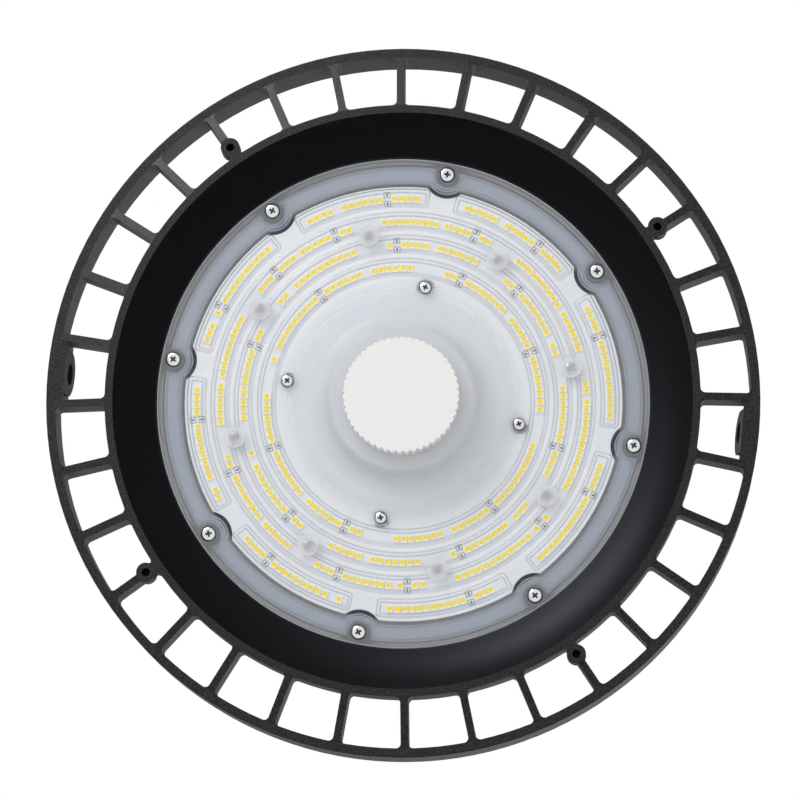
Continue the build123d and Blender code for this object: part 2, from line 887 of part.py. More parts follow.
with BuildPart() as socket_ring_nut:
    with BuildSketch(Plane.XY.offset(socket_nut_z)):
        Circle(socket_radius + socket_nut_width)
        Circle(socket_radius + thread_clearance, mode=Mode.SUBTRACT)
        with PolarLocations(socket_radius + socket_nut_width, socket_nut_notch_count):
            Rectangle(socket_nut_width / 2, socket_nut_width, mode=Mode.SUBTRACT)
    extrude(amount=socket_nut_thickness)
save(socket_ring_nut.part, "socket_ring_nut")

with BuildPart() as cap_seal:
    with BuildSketch(Plane.XY.offset(cap_height)):
        Circle(socket_radius + thread_clearance + cap_seal_width)
        Circle(socket_radius + thread_clearance, mode=Mode.SUBTRACT)
    extrude(amount=cap_seal_thickness)
save(cap_seal.part, "cap_seal")

cap_bore_radius = socket_radius + thread_clearance
with BuildPart() as sensor_cap:
    with BuildSketch():
        Circle(cap_body_radius)
    extrude(amount=cap_height)
    fillet(sensor_cap.edges().group_by(Axis.Z)[0], cap_edge_round)
    with BuildSketch(Plane.XY.offset(cap_edge_round)):
        with PolarLocations(cap_radius - knurl_radius, knurl_count):
            Circle(knurl_radius)
        Circle(cap_body_radius - knurl_depth, mode=Mode.SUBTRACT)
    extrude(amount=cap_height - cap_edge_round)
    with BuildSketch(Plane.XY.offset(cap_face_thickness)):
        Circle(cap_bore_radius)
    extrude(amount=cap_height - cap_face_thickness, mode=Mode.SUBTRACT)
    with BuildSketch(Plane.XY.offset(cap_height)):
        Circle(cap_body_radius - cap_outer_wall)
        Circle(cap_bore_radius + cap_skirt_wall, mode=Mode.SUBTRACT)
    extrude(amount=-cap_skirt_depth, mode=Mode.SUBTRACT)
save(sensor_cap.part, "sensor_cap")

# Wire hole: grommet in the plate, wires of the LED board and of the sensor port
with BuildPart() as wire_grommet:
    with BuildSketch(Plane.XY.offset(plate_z)):
        Circle(wire_hole_radius - sliding_clearance)
    extrude(amount=plate_thickness)
    with BuildSketch(Plane.XY.offset(plate_back_z)):
        Circle(wire_hole_radius + grommet_lip)
    extrude(amount=grommet_lip_thickness)
    with BuildSketch(Plane.XY.offset(plate_z)):
        Circle(wire_hole_radius + grommet_lip)
    extrude(amount=-grommet_lip_thickness)
    with BuildSketch(Plane.XY.offset(plate_z - grommet_lip_thickness)):
        Circle(grommet_bore_radius)
    extrude(amount=plate_thickness + 2 * grommet_lip_thickness, mode=Mode.SUBTRACT)
save(wire_grommet.part, "wire_grommet")

connector_start = connector_distance - connector_length / 2
wire_z = board_z - connector_height / 2
with BuildPart() as board_connector:
    with Locations((connector_distance, 0, wire_z)):
        Box(connector_length, connector_width, connector_height)
    fillet(board_connector.edges().filter_by(Axis.X), connector_edge_round)
save(board_connector.part, "board_connector")

with BuildPart() as led_wires:
    for side in (1, -1):
        wire_y = side * wire_spacing / 2
        with BuildLine(Plane.XZ.offset(-wire_y)) as route:
            FilletPolyline(
                (0, driver_z), (0, wire_z), (connector_start, wire_z), radius=wire_bend_radius
            )
        with BuildSketch(Plane(route.line @ 0, z_dir=route.line % 0)):
            Circle(wire_radius)
        sweep(path=route.line)
save(led_wires.part, "led_wires")

with BuildPart() as sensor_wires:
    with BuildSketch(Plane.XY.offset(socket_back_z + contact_tail)):
        with PolarLocations(contact_circle_radius, contact_count, 180.0 / contact_count):
            Circle(sensor_wire_radius)
    extrude(amount=driver_z - socket_back_z - contact_tail)
save(sensor_wires.part, "sensor_wires")

# Driver on its two standoffs, with its screws
with BuildPart() as led_driver:
    with BuildSketch(Plane.XY.offset(driver_z)):
        RectangleRounded(driver_length, driver_width, driver_corner)
    extrude(amount=driver_height)
    fillet(led_driver.edges().group_by(Axis.Z)[-1], driver_edge_round)
    with BuildSketch(Plane.XY.offset(driver_z)):
        RectangleRounded(driver_foot_length, driver_foot_width, driver_corner)
    extrude(amount=driver_foot_thickness)
    with BuildSketch(Plane.XY.offset(driver_z)):
        with PolarLocations(driver_screw_distance, 2):
            Circle(large_screw_radius + screw_clearance)
    extrude(amount=driver_foot_thickness, mode=Mode.SUBTRACT)
save(led_driver.part, "led_driver")

turned_over = Rot(180, 0, 0)
driver_screw = turned_over * pan_screw(
    large_screw_radius,
    large_head_radius,
    large_head_height,
    driver_foot_thickness + standoff_height - hole_tip,
)
driver_screws = ring_of_screws(
    driver_screw, driver_screw_distance, 2, 0, driver_z + driver_foot_thickness
)
save(driver_screws, "driver_screws")

# Terminal block for the mains wires
terminal_z = plate_back_z + terminal_height
with BuildPart() as terminal_block:
    with Locations((0, terminal_distance, plate_back_z + terminal_height / 2)):
        Box(terminal_length, terminal_width, terminal_height)
    fillet(terminal_block.edges().filter_by(Axis.Z), terminal_corner)
    with BuildSketch(Plane.XY.offset(terminal_z)):
        with Locations((0, terminal_distance)):
            with GridLocations(terminal_pole_pitch, 0, terminal_pole_count, 1):
                Circle(terminal_screw_radius + thread_clearance)
    extrude(amount=-terminal_height / 2, mode=Mode.SUBTRACT)
    with BuildSketch(Plane.XZ.offset(terminal_width / 2 - terminal_distance)):
        with Locations((0, plate_back_z + terminal_hole_rise)):
            with GridLocations(terminal_pole_pitch, 0, terminal_pole_count, 1):
                Circle(terminal_hole_radius)
    extrude(amount=-terminal_width / 2, mode=Mode.SUBTRACT)
save(terminal_block.part, "terminal_block")

with BuildPart() as terminal_screws:
    with BuildSketch(Plane.XY.offset(terminal_z - terminal_screw_sink)):
        with Locations((0, terminal_distance)):
            with GridLocations(terminal_pole_pitch, 0, terminal_pole_count, 1):
                Circle(terminal_screw_radius)
    extrude(amount=terminal_screw_sink - terminal_height / 2)
save(terminal_screws.part, "terminal_screws")

# Earth screw and its washer
with BuildPart() as earth_washer:
    with BuildSketch(Plane.XY.offset(plate_back_z)):
        with Locations((0, -earth_distance)):
            Circle(earth_washer_radius)
            Circle(large_screw_radius + screw_clearance, mode=Mode.SUBTRACT)
    extrude(amount=earth_washer_thickness)
save(earth_washer.part, "earth_washer")

earth_screw = turned_over * pan_screw(
    large_screw_radius,
    large_head_radius,
    large_head_height,
    earth_washer_thickness + plate_thickness - 2 * hole_tip,
)
earth_screws = ring_of_screws(
    earth_screw, earth_distance, 1, -90, plate_back_z + earth_washer_thickness
)
save(earth_screws, "earth_screw")

# Driver housing: a turned cover with ears, and bosses for the eye, the gland and the vent
with BuildPart() as housing_gasket:
    with BuildSketch(Plane.XY.offset(compartment_top_z)):
        Circle((compartment_radius + housing_foot_radius + housing_gasket_width) / 2)
        Circle(
            (compartment_radius + housing_foot_radius - housing_gasket_width) / 2,
            mode=Mode.SUBTRACT,
        )
    extrude(amount=housing_gasket_thickness)
save(housing_gasket.part, "housing_gasket")

housing_flange_z = housing_z + housing_flange_thickness
wall_rise = housing_top_z - housing_flange_z
gland_z = housing_z + gland_height_up_wall
gland_wall_radius = housing_wall_radius - housing_taper * (gland_z - housing_flange_z) / wall_rise
gland_face_y = gland_wall_radius + gland_boss_reach
gland_inner_y = gland_face_y - gland_boss_depth
with BuildPart() as driver_housing:
    with BuildSketch(Plane.XZ):
        with BuildLine():
            Polyline(
                (0, housing_roof_z),
                (housing_shoulder_radius - housing_wall, housing_roof_z),
                (compartment_radius, housing_flange_z),
                (compartment_radius, housing_z),
                (housing_foot_radius, housing_z),
                (housing_foot_radius, housing_flange_z),
                (housing_wall_radius, housing_flange_z),
                (housing_shoulder_radius, housing_top_z),
                (0, housing_top_z),
                close=True,
            )
        profile = make_face()
        shoulder = profile.vertices().group_by(Axis.Y)[-1].sort_by(Axis.X)[-1]
        fillet(shoulder, housing_shoulder_round)
    revolve(axis=Axis.Z)
    with BuildSketch(Plane.XY.offset(housing_z)):
        with PolarLocations(housing_lug_circle_radius, housing_screw_count):
            Circle(housing_lug_radius)
        with PolarLocations(
            (housing_lug_circle_radius + housing_foot_radius) / 2 - housing_wall / 2,
            housing_screw_count,
        ):
            Rectangle(
                housing_lug_circle_radius - housing_foot_radius + housing_wall,
                2 * housing_lug_radius,
            )
    extrude(amount=housing_flange_thickness)
    with BuildSketch(Plane.XY.offset(housing_top_z)):
        Circle(eye_boss_radius)
    extrude(amount=eye_boss_height, taper=eye_boss_draft)
    with BuildSketch(Plane.XZ.offset(-gland_face_y)):
        with Locations((0, gland_z)):
            Circle(gland_boss_radius)
    extrude(amount=gland_boss_depth)
    with BuildSketch(Plane.XZ.offset(-gland_face_y)):
        with Locations((0, gland_z)):
            Circle(gland_thread_radius + sliding_clearance)
    extrude(amount=gland_boss_depth, mode=Mode.SUBTRACT)
    with BuildSketch(Plane.XY.offset(housing_z)):
        with PolarLocations(housing_lug_circle_radius, housing_screw_count):
            Circle(large_screw_radius + screw_clearance)
    extrude(amount=housing_flange_thickness, mode=Mode.SUBTRACT)
    with BuildSketch(Plane.XY.offset(housing_roof_z)):
        Circle(eye_stem_radius + sliding_clearance)
    extrude(amount=housing_top_thickness + eye_boss_height, mode=Mode.SUBTRACT)
    with BuildSketch(Plane.XY.offset(housing_roof_z)):
        with Locations((vent_distance, 0)):
            Circle(vent_thread_radius + sliding_clearance)
    extrude(amount=housing_top_thickness, mode=Mode.SUBTRACT)
save(driver_housing.part, "driver_housing")

housing_screw = turned_over * pan_screw(
    large_screw_radius,
    large_head_radius,
    large_head_height,
    housing_flange_thickness + large_screw_depth,
)
housing_screws = ring_of_screws(
    housing_screw, housing_lug_circle_radius, housing_screw_count, 0, housing_flange_z
)
save(housing_screws, "housing_screws")

# Hanging eye with its sealing washer and the nut inside the roof
eye_nut_z = housing_roof_z - eye_nut_height
with BuildPart() as hanging_eye:
    with BuildSketch(Plane.XZ) as ring_face:
        with Locations((0, eye_centre_z)):
            Circle(eye_outer_radius)
    extrude(amount=eye_thickness / 2, both=True)
    with BuildSketch(Plane.XZ):
        with Locations((0, eye_centre_z)):
            Circle(eye_hole_radius)
    extrude(amount=eye_thickness / 2, both=True, mode=Mode.SUBTRACT)
    fillet(hanging_eye.edges().filter_by(GeomType.CIRCLE), eye_edge_round)
    with BuildSketch(Plane.XY.offset(eye_z)):
        Circle(eye_collar_radius)
    extrude(amount=eye_collar_height)
    with BuildSketch(Plane.XY.offset(eye_z)):
        Circle(eye_stem_radius)
    extrude(amount=eye_nut_z - eye_stem_end - eye_z)
save(hanging_eye.part, "hanging_eye")

with BuildPart() as eye_washer:
    with BuildSketch(Plane.XY.offset(eye_washer_z)):
        Circle(eye_collar_radius)
        Circle(eye_stem_radius + sliding_clearance, mode=Mode.SUBTRACT)
    extrude(amount=eye_washer_thickness)
save(eye_washer.part, "eye_washer")

with BuildPart() as eye_nut:
    with BuildSketch(Plane.XY.offset(eye_nut_z)):
        RegularPolygon(eye_nut_flats / 2, 6, major_radius=False)
        Circle(eye_stem_radius + thread_clearance, mode=Mode.SUBTRACT)
    extrude(amount=eye_nut_height)
save(eye_nut.part, "eye_nut")

# Cable gland: washer, threaded body, rubber insert, dome nut and the locknut inside
gland_hex_y = gland_face_y + gland_washer_thickness
gland_collar_y = gland_hex_y + gland_hex_length
gland_nut_end_y = gland_collar_y + gland_nut_length
gland_thread_y = gland_inner_y - gland_locknut_height - gland_thread_end
with BuildPart() as gland_washer:
    with BuildSketch(Plane.XZ.offset(-gland_face_y)):
        with Locations((0, gland_z)):
            Circle(gland_flats / 2)
            Circle(gland_thread_radius + sliding_clearance, mode=Mode.SUBTRACT)
    extrude(amount=-gland_washer_thickness)
save(gland_washer.part, "gland_washer")

with BuildPart() as gland_body:
    with BuildSketch(Plane.XZ.offset(-gland_thread_y)):
        with Locations((0, gland_z)):
            Circle(gland_thread_radius)
    extrude(amount=gland_thread_y - gland_hex_y)
    with BuildSketch(Plane.XZ.offset(-gland_hex_y)):
        with Locations((0, gland_z)):
            RegularPolygon(gland_flats / 2, 6, major_radius=False)
    extrude(amount=-gland_hex_length)
    with BuildSketch(Plane.XZ.offset(-gland_collar_y)):
        with Locations((0, gland_z)):
            Circle(gland_collar_radius)
    extrude(amount=-gland_collar_length)
    with BuildSketch(Plane.XZ.offset(-gland_thread_y)):
        with Locations((0, gland_z)):
            Circle(gland_bore_radius)
    extrude(
        amount=gland_thread_y - gland_collar_y - gland_collar_length,
        mode=Mode.SUBTRACT,
    )
save(gland_body.part, "gland_body")

gland_seal_end_y = gland_collar_y + gland_collar_length
with BuildPart() as gland_seal:
    with BuildSketch(Plane.XZ.offset(gland_seal_length - gland_seal_end_y)):
        with Locations((0, gland_z)):
            Circle(gland_bore_radius - thread_clearance)
            Circle(gland_cable_radius, mode=Mode.SUBTRACT)
    extrude(amount=-gland_seal_length)
save(gland_seal.part, "gland_seal")

gland_hollow_end_y = gland_seal_end_y + sliding_clearance
with BuildPart() as gland_nut:
    with BuildSketch(Plane.YZ):
        with BuildLine():
            Polyline(
                (gland_collar_y, gland_z + gland_collar_radius + thread_clearance),
                (gland_collar_y, gland_z + gland_flats / 2),
                (gland_nut_end_y - gland_nut_dome, gland_z + gland_flats / 2),
            )
            ThreePointArc(
                (gland_nut_end_y - gland_nut_dome, gland_z + gland_flats / 2),
                (
                    gland_nut_end_y - gland_nut_dome * (1 - half_turn),
                    gland_z + gland_flats / 2 - gland_dome_inset * (1 - half_turn),
                ),
                (gland_nut_end_y, gland_z + gland_flats / 2 - gland_dome_inset),
            )
            Polyline(
                (gland_nut_end_y, gland_z + gland_flats / 2 - gland_dome_inset),
                (gland_nut_end_y, gland_z + gland_nut_mouth_radius),
                (gland_hollow_end_y, gland_z + gland_nut_mouth_radius),
                (gland_hollow_end_y, gland_z + gland_collar_radius + thread_clearance),
                (gland_collar_y, gland_z + gland_collar_radius + thread_clearance),
            )
        make_face()
    revolve(axis=Axis((0, 0, gland_z), (0, 1, 0)))
save(gland_nut.part, "gland_nut")

with BuildPart() as gland_locknut:
    with BuildSketch(Plane.XZ.offset(-gland_inner_y)):
        with Locations((0, gland_z)):
            RegularPolygon(gland_flats / 2, 6, major_radius=False)
            Circle(gland_thread_radius + thread_clearance, mode=Mode.SUBTRACT)
    extrude(amount=gland_locknut_height)
save(gland_locknut.part, "gland_locknut")

# Breather vent in the roof, and its nut
vent_nut_z = housing_roof_z - vent_nut_height
with BuildPart() as breather_vent:
    with BuildSketch(Plane.XY.offset(housing_top_z)):
        with Locations((vent_distance, 0)):
            Circle(vent_head_radius)
    extrude(amount=vent_head_height)
    fillet(breather_vent.edges().group_by(Axis.Z)[-1], vent_edge_round)
    with BuildSketch(Plane.XY.offset(housing_top_z)):
        with Locations((vent_distance, 0)):
            Circle(vent_thread_radius)
    extrude(amount=vent_nut_z - vent_thread_end - housing_top_z)
save(breather_vent.part, "breather_vent")

with BuildPart() as vent_nut:
    with BuildSketch(Plane.XY.offset(vent_nut_z)):
        with Locations((vent_distance, 0)):
            RegularPolygon(vent_nut_flats / 2, 6, major_radius=False)
            Circle(vent_thread_radius + thread_clearance, mode=Mode.SUBTRACT)
    extrude(amount=vent_nut_height)
save(vent_nut.part, "vent_nut")
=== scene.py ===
"""High bay light: finishes, fine pieces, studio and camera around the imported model."""

import logging
import math
from dataclasses import dataclass, field
from enum import Enum
from functools import partial
from typing import Callable, Iterable, Optional, Protocol, Sequence

import bmesh
import bpy
from mathutils import Matrix, Vector

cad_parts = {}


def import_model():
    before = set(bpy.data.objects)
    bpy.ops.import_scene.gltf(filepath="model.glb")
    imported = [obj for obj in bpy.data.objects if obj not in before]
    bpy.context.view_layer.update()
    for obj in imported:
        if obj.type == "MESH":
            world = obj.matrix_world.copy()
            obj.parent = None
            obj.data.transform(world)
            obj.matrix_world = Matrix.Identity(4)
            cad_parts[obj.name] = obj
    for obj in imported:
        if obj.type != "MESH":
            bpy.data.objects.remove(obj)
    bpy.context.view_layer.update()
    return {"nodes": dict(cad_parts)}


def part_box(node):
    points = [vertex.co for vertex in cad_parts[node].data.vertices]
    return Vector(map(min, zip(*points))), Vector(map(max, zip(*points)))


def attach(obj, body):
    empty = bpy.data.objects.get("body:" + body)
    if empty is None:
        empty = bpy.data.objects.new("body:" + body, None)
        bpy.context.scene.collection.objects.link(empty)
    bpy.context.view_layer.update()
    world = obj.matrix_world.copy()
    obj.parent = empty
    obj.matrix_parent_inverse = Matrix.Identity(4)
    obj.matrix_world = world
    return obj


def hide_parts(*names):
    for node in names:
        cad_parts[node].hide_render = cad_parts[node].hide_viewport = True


log = logging.getLogger("high_bay_light")
MM = 0.001
# Points closer together than this are one point.
SAME_PLACE = 0.001 * MM
# Cosine of the widest angle between a face's normal and a direction that it still faces.
FACING = 0.99
# How many etched finishes there are, from the plain face to the darkest painted shade.
ETCH_STEPS = 4
Point = tuple[float, float, float]
Colour = tuple[float, float, float, float]
Links = dict[str | int, object]
Piece = bpy.types.Object
Node = bpy.types.Node
Socket = bpy.types.NodeSocket
Material = bpy.types.Material


def linear(hex_value: str) -> Colour:
    """Turn an sRGB hex value into a linear colour.

    Args:
        hex_value: six hex digits, red first.

    Returns:
        Red, green, blue and an alpha of 1.
    """
    parts = [int(hex_value[i : i + 2], 16) / 255 for i in (0, 2, 4)]
    # The sRGB curve is straight near black and a power above that.
    red, green, blue = (
        c / 12.92 if c <= 0.04045 else ((c + 0.055) / 1.055) ** 2.4 for c in parts
    )
    return (red, green, blue, 1.0)


class Plating(Enum):
    """Bright coatings on the steel pieces, by colour."""

    NICKEL = "D9DADD"
    ZINC = "C3C7CB"


class Handle(Enum):
    """What is picked in edit mode."""

    FACES = "FACE"
    POINTS = "VERT"


class Nodes:
    """The node tree of a material or of the world, built one node at a time.

    Attributes:
        place: Object coordinates, which are metres in the light's own frame.
        normal: the surface's direction in that frame.
        direction: where a ray of the world comes from.
    """

    def __init__(self, name: str, world: Optional[bpy.types.World] = None) -> None:
        """Start an empty material, or empty the world's own nodes.

        Args:
            name: the new material's name.
            world: the world to work on in place of a material.
        """
        self.owner = world or bpy.data.materials.new(name)
        self.owner.use_nodes = True
        self.tree = self.owner.node_tree
        self.tree.nodes.clear()
        self.output = self.add("OutputWorld" if world else "OutputMaterial")
        coordinates = self.add("TexCoord").outputs
        self.place = coordinates["Object"]
        self.normal = coordinates["Normal"]
        self.direction = coordinates["Generated"]

    def add(self, kind: str, links: Optional[Links] = None, **settings: object) -> Node:
        """Add a node.

        Args:
            kind: the node's type without its ShaderNode prefix.
            links: for each input, by name or place, a value, the socket that feeds it, or the
                node whose first output does.
            settings: attributes of the node.

        Returns:
            The new node.
        """
        node = self.tree.nodes.new("ShaderNode" + kind)
        for key, value in settings.items():
            setattr(node, key, value)
        for key, value in (links or {}).items():
            source = value.outputs[0] if isinstance(value, Node) else value
            if isinstance(source, Socket):
                self.tree.links.new(source, node.inputs[key])
            else:
                node.inputs[key].default_value = source
        return node

    def finish(self, surface: Node) -> Material:
        """Join the last shader to the output and return what the nodes belong to."""
        self.tree.links.new(surface.outputs[0], self.output.inputs["Surface"])
        return self.owner

    def height(self) -> Socket:
        """Height in the light's own frame, in metres."""
        return self.add("SeparateXYZ", {"Vector": self.place}).outputs["Z"]

    def upright(self) -> Socket:
        """How far the surface faces up, from -1 to 1."""
        return self.add("SeparateXYZ", {"Vector": self.normal}).outputs["Z"]

    def radius(self) -> Socket:
        """Measure how far a place is from the light's axis.

        Returns:
            The distance in metres.
        """
        place = self.add("SeparateXYZ", {"Vector": self.place}).outputs
        flat = self.add("CombineXYZ", {"X": place["X"], "Y": place["Y"]})
        return self.add("VectorMath", {0: flat}, operation="LENGTH").outputs["Value"]

    def grain(self, size_mm: float, detail: float = 2.0) -> Node:
        """Add noise whose lumps have a real size.

        Args:
            size_mm: how far across a lump is, about.
            detail: how much finer noise is laid over it.

        Returns:
            The noise, from 0 to 1.
        """
        scale = 1 / (size_mm * MM)
        return self.add("TexNoise", {"Vector": self.place, "Scale": scale, "Detail": detail})

    def backdrop(self) -> Socket:
        """Tell rays that see a surface from rays that it lights.

        Returns:
            1 where it is seen, mirrored or seen through glass, and 0 where it lights.
        """
        path = self.add("LightPath").outputs
        seen = path["Is Camera Ray"]
        for name in ("Is Glossy Ray", "Is Transmission Ray"):
            seen = self.add("Math", {0: seen, 1: path[name]}, operation="MAXIMUM").outputs[0]
        return seen


class Finish(Protocol):
    """Anything that builds a material."""

    def material(self) -> Material:
        """Build the material."""


@dataclass(frozen=True)
class PowderCoat:
    """Black polyester powder, sprayed and baked on die-cast aluminium.

    It looks like fine dull sand, rougher on upright walls, and like smooth satin in the cone.
    """

    # Painted light: the sand's lumps are painted lighter, a highlight where they catch the light,
    # and its valleys darker, painted shade.
    valley: str = "0E0E10"
    lump_highlight: str = "35353A"
    sand_range: tuple[float, float] = (-1.3, 2.3)
    roughness: float = 0.46
    wall_roughness: float = 0.62
    gloss: float = 0.11
    relief: float = 0.6
    grain_mm: float = 0.65
    depth_mm: float = 0.09
    cone_colour: str = "050508"
    cone_gleam: str = "DCDFEA"
    cone_roughness: float = 0.44
    cone_gloss: float = 0.08
    cone_relief: float = 0.05
    cone_inner: float = 111.3 * MM
    cone_outer: float = 129.8 * MM
    cone_top: float = 30.3 * MM

    def in_cone(self, nodes: Nodes) -> Node:
        """Find the cone by its distance from the axis and its height.

        Args:
            nodes: the coat's node tree.

        Returns:
            1 on the cone and 0 elsewhere.
        """
        middle = (self.cone_inner + self.cone_outer) / 2
        half = (self.cone_outer - self.cone_inner) / 2
        near = nodes.add("Math", {0: nodes.radius(), 1: middle, 2: half}, operation="COMPARE")
        low = nodes.add("Math", {0: nodes.height(), 1: self.cone_top}, operation="LESS_THAN")
        return nodes.add("Math", {0: near, 1: low}, operation="MULTIPLY")

    def material(self) -> Material:
        """Build the coat. Real lumps are 0.3 mm, and these are coarser so that they show.

        Returns:
            The material.
        """
        nodes = Nodes("black_powder_coat")
        grain = nodes.grain(self.grain_mm)
        # Painted highlight and shade: the colour follows the same grain as the bump, lighter on
        # the lumps and darker in the valleys.
        least, most = self.sand_range
        sand = nodes.add("MapRange", {"Value": grain, "To Min": least, "To Max": most})
        colour = nodes.add(
            "Mix",
            {"Factor": sand, 6: linear(self.valley), 7: linear(self.lump_highlight)},
            data_type="RGBA",
        )
        level = nodes.add("Math", {0: nodes.upright()}, operation="ABSOLUTE")
        rough = nodes.add(
            "MapRange",
            {"Value": level, "To Min": self.wall_roughness, "To Max": self.roughness},
        )
        depth = self.depth_mm * MM
        lumps = nodes.add("Bump", {"Height": grain, "Distance": depth, "Strength": self.relief})
        textured = nodes.add(
            "BsdfPrincipled",
            {
                "Base Color": colour.outputs[2],
                "Roughness": rough,
                "Normal": lumps,
                "Specular IOR Level": self.gloss,
            },
        )
        faint = nodes.add(
            "Bump", {"Height": grain, "Distance": depth, "Strength": self.cone_relief}
        )
        satin = nodes.add(
            "BsdfPrincipled",
            {
                "Base Color": linear(self.cone_colour),
                "Roughness": self.cone_roughness,
                "Normal": faint,
                "Specular IOR Level": self.cone_gloss,
                "Specular Tint": linear(self.cone_gleam),
            },
        )
        coat = nodes.add("MixShader", {0: self.in_cone(nodes), 1: textured, 2: satin})
        return nodes.finish(coat)


@dataclass(frozen=True)
class ClearPolycarbonate:
    """Injection-moulded clear polycarbonate.

    It looks like a thin glossy sheet, hazy at its rim and milky in the turret, where the mould
    is etched. Its gloss, and its haze outside the slots, lie on its outer side alone, so that
    each sheet shows them once.
    """

    tint: str = "FFFFFF"
    # Painted shade on the sheet's slopes.
    slope_shade: str = "A6ADBB"
    slope_power: float = 2.0
    milk: str = "F4F6FA"
    glow_share: float = 0.35
    # Lower than the plastic's own 1.58, so that the sheet mirrors less.
    ior: float = 1.33
    mirror_power: float = 5.0
    roughness: float = 0.13
    wave_mm: float = 14.0
    wave_depth_mm: float = 0.02
    side_limit: float = 0.05
    clear_haze: float = 0.03
    rim_haze: float = 0.26
    turret_haze: float = 0.88
    turret_radius: float = 43.0 * MM
    foot_radius: float = 56.0 * MM
    rim_start: float = 97.0 * MM
    rim_radius: float = 99.5 * MM
    # Painted highlight: a thin line of haze on the outer edge, where it catches the light.
    edge_highlight: float = 0.3
    edge_start: float = 109.9 * MM
    edge_radius: float = 110.3 * MM
    slot_radius: float = 109.1 * MM
    slot_half: float = 0.51 * MM
    slot_line: float = 0.12 * MM
    slot_edge: float = 0.3 * MM
    slot_floor: float = 29.6 * MM
    slot_floor_band: float = 0.2 * MM
    # Painted highlights along the slots' sides.
    slot_highlight: float = 0.7

    def underside(self, nodes: Nodes) -> Node:
        """Find the sheet's outer side, which faces down or sideways.

        Args:
            nodes: the sheet's node tree.

        Returns:
            1 on the outer side and 0 on the inner one, whichever side is seen.
        """
        backfacing = nodes.add("NewGeometry").outputs["Backfacing"]
        turned = nodes.add("MapRange", {"Value": backfacing, "To Min": 1.0, "To Max": -1.0})
        outward = nodes.add("Math", {0: nodes.upright(), 1: turned}, operation="MULTIPLY")
        return nodes.add("Math", {0: outward, 1: self.side_limit}, operation="LESS_THAN")

    def mirrored(self, nodes: Nodes) -> Node:
        """Work out how much light the sheet mirrors, the same from both of its sides.

        Args:
            nodes: the sheet's node tree.

        Returns:
            The share of light, from the share head on to 1 at a grazing angle.
        """
        head_on = ((self.ior - 1) / (self.ior + 1)) ** 2
        slope = nodes.add("LayerWeight").outputs["Facing"]
        steep = nodes.add("Math", {0: slope, 1: self.mirror_power}, operation="POWER")
        return nodes.add("MapRange", {"Value": steep, "To Min": head_on})

    def see_through(self, nodes: Nodes) -> Node:
        """Let light through, a little greyer to the eye where the sheet is seen aslant: painted
        shade.

        Args:
            nodes: the sheet's node tree.

        Returns:
            The shader.
        """
        slope = nodes.add("LayerWeight").outputs["Facing"]
        steep = nodes.add("Math", {0: slope, 1: self.slope_power}, operation="POWER")
        # The painted shade is drawn for camera rays alone, so that it does not dim the light on
        # the board.
        seen = nodes.add("LightPath").outputs["Is Camera Ray"]
        share = nodes.add("Math", {0: steep, 1: seen}, operation="MULTIPLY")
        tint = nodes.add(
            "Mix",
            {"Factor": share, 6: linear(self.tint), 7: linear(self.slope_shade)},
            data_type="RGBA",
        )
        return nodes.add("BsdfTransparent", {"Color": tint.outputs[2]})

    def milky(self, nodes: Nodes) -> Node:
        """Scatter light, part of it through the sheet.

        Args:
            nodes: the sheet's node tree.

        Returns:
            The shader.
        """
        milk = nodes.add("BsdfDiffuse", {"Color": linear(self.milk)})
        glow = nodes.add("BsdfTranslucent", {"Color": linear(self.milk)})
        return nodes.add("MixShader", {0: self.glow_share, 1: milk, 2: glow})

    def haze(self, nodes: Nodes, outside: Node) -> Node:
        """Add up the haze of the turret and the rim, and the painted highlights of the outer edge
        and slots.

        Args:
            nodes: the sheet's node tree.
            outside: 1 on the sheet's outer side.

        Returns:
            The share of light that the sheet scatters.
        """
        radius = nodes.radius()
        zones = (
            (self.foot_radius, self.turret_radius, self.turret_haze),
            (self.rim_start, self.rim_radius, self.rim_haze),
            (self.edge_start, self.edge_radius, self.edge_highlight),
        )
        least = self.clear_haze / len(zones)
        turret, rim, edge = (
            nodes.add(
                "MapRange",
                {
                    "Value": radius,
                    "From Min": start,
                    "From Max": end,
                    "To Min": least,
                    "To Max": most,
                },
                interpolation_type="SMOOTHSTEP",
            )
            for start, end, most in zones
        )
        moulded = nodes.add("Math", {0: turret, 1: rim}, operation="ADD")
        everywhere = nodes.add("Math", {0: moulded, 1: edge}, operation="ADD")
        outer = nodes.add("Math", {0: everywhere, 1: outside}, operation="MULTIPLY")
        slots = self.slot_lines(nodes, radius)
        return nodes.add("Math", {0: outer, 1: slots}, operation="ADD")

    def slot_lines(self, nodes: Nodes, radius: Socket) -> Node:
        """Paint highlights where the slots in the rim's back catch the light, along both of their
        sides.

        Args:
            nodes: the sheet's node tree.
            radius: the distance from the light's axis.

        Returns:
            The share of light that the slots scatter.
        """
        floor = nodes.add(
            "Math",
            {0: nodes.height(), 1: self.slot_floor, 2: self.slot_floor_band},
            operation="COMPARE",
        )
        slot = nodes.add(
            "Math", {0: radius, 1: self.slot_radius, 2: self.slot_half}, operation="COMPARE"
        )
        offset = nodes.add("Math", {0: radius, 1: self.slot_radius}, operation="SUBTRACT")
        aside = nodes.add("Math", {0: offset}, operation="ABSOLUTE")
        line = nodes.add(
            "MapRange",
            {
                "Value": aside,
                "From Min": self.slot_line,
                "From Max": self.slot_edge,
                "To Max": self.slot_highlight,
            },
            interpolation_type="SMOOTHSTEP",
        )
        inside = nodes.add("Math", {0: floor, 1: slot}, operation="MULTIPLY")
        return nodes.add("Math", {0: inside, 1: line}, operation="MULTIPLY")

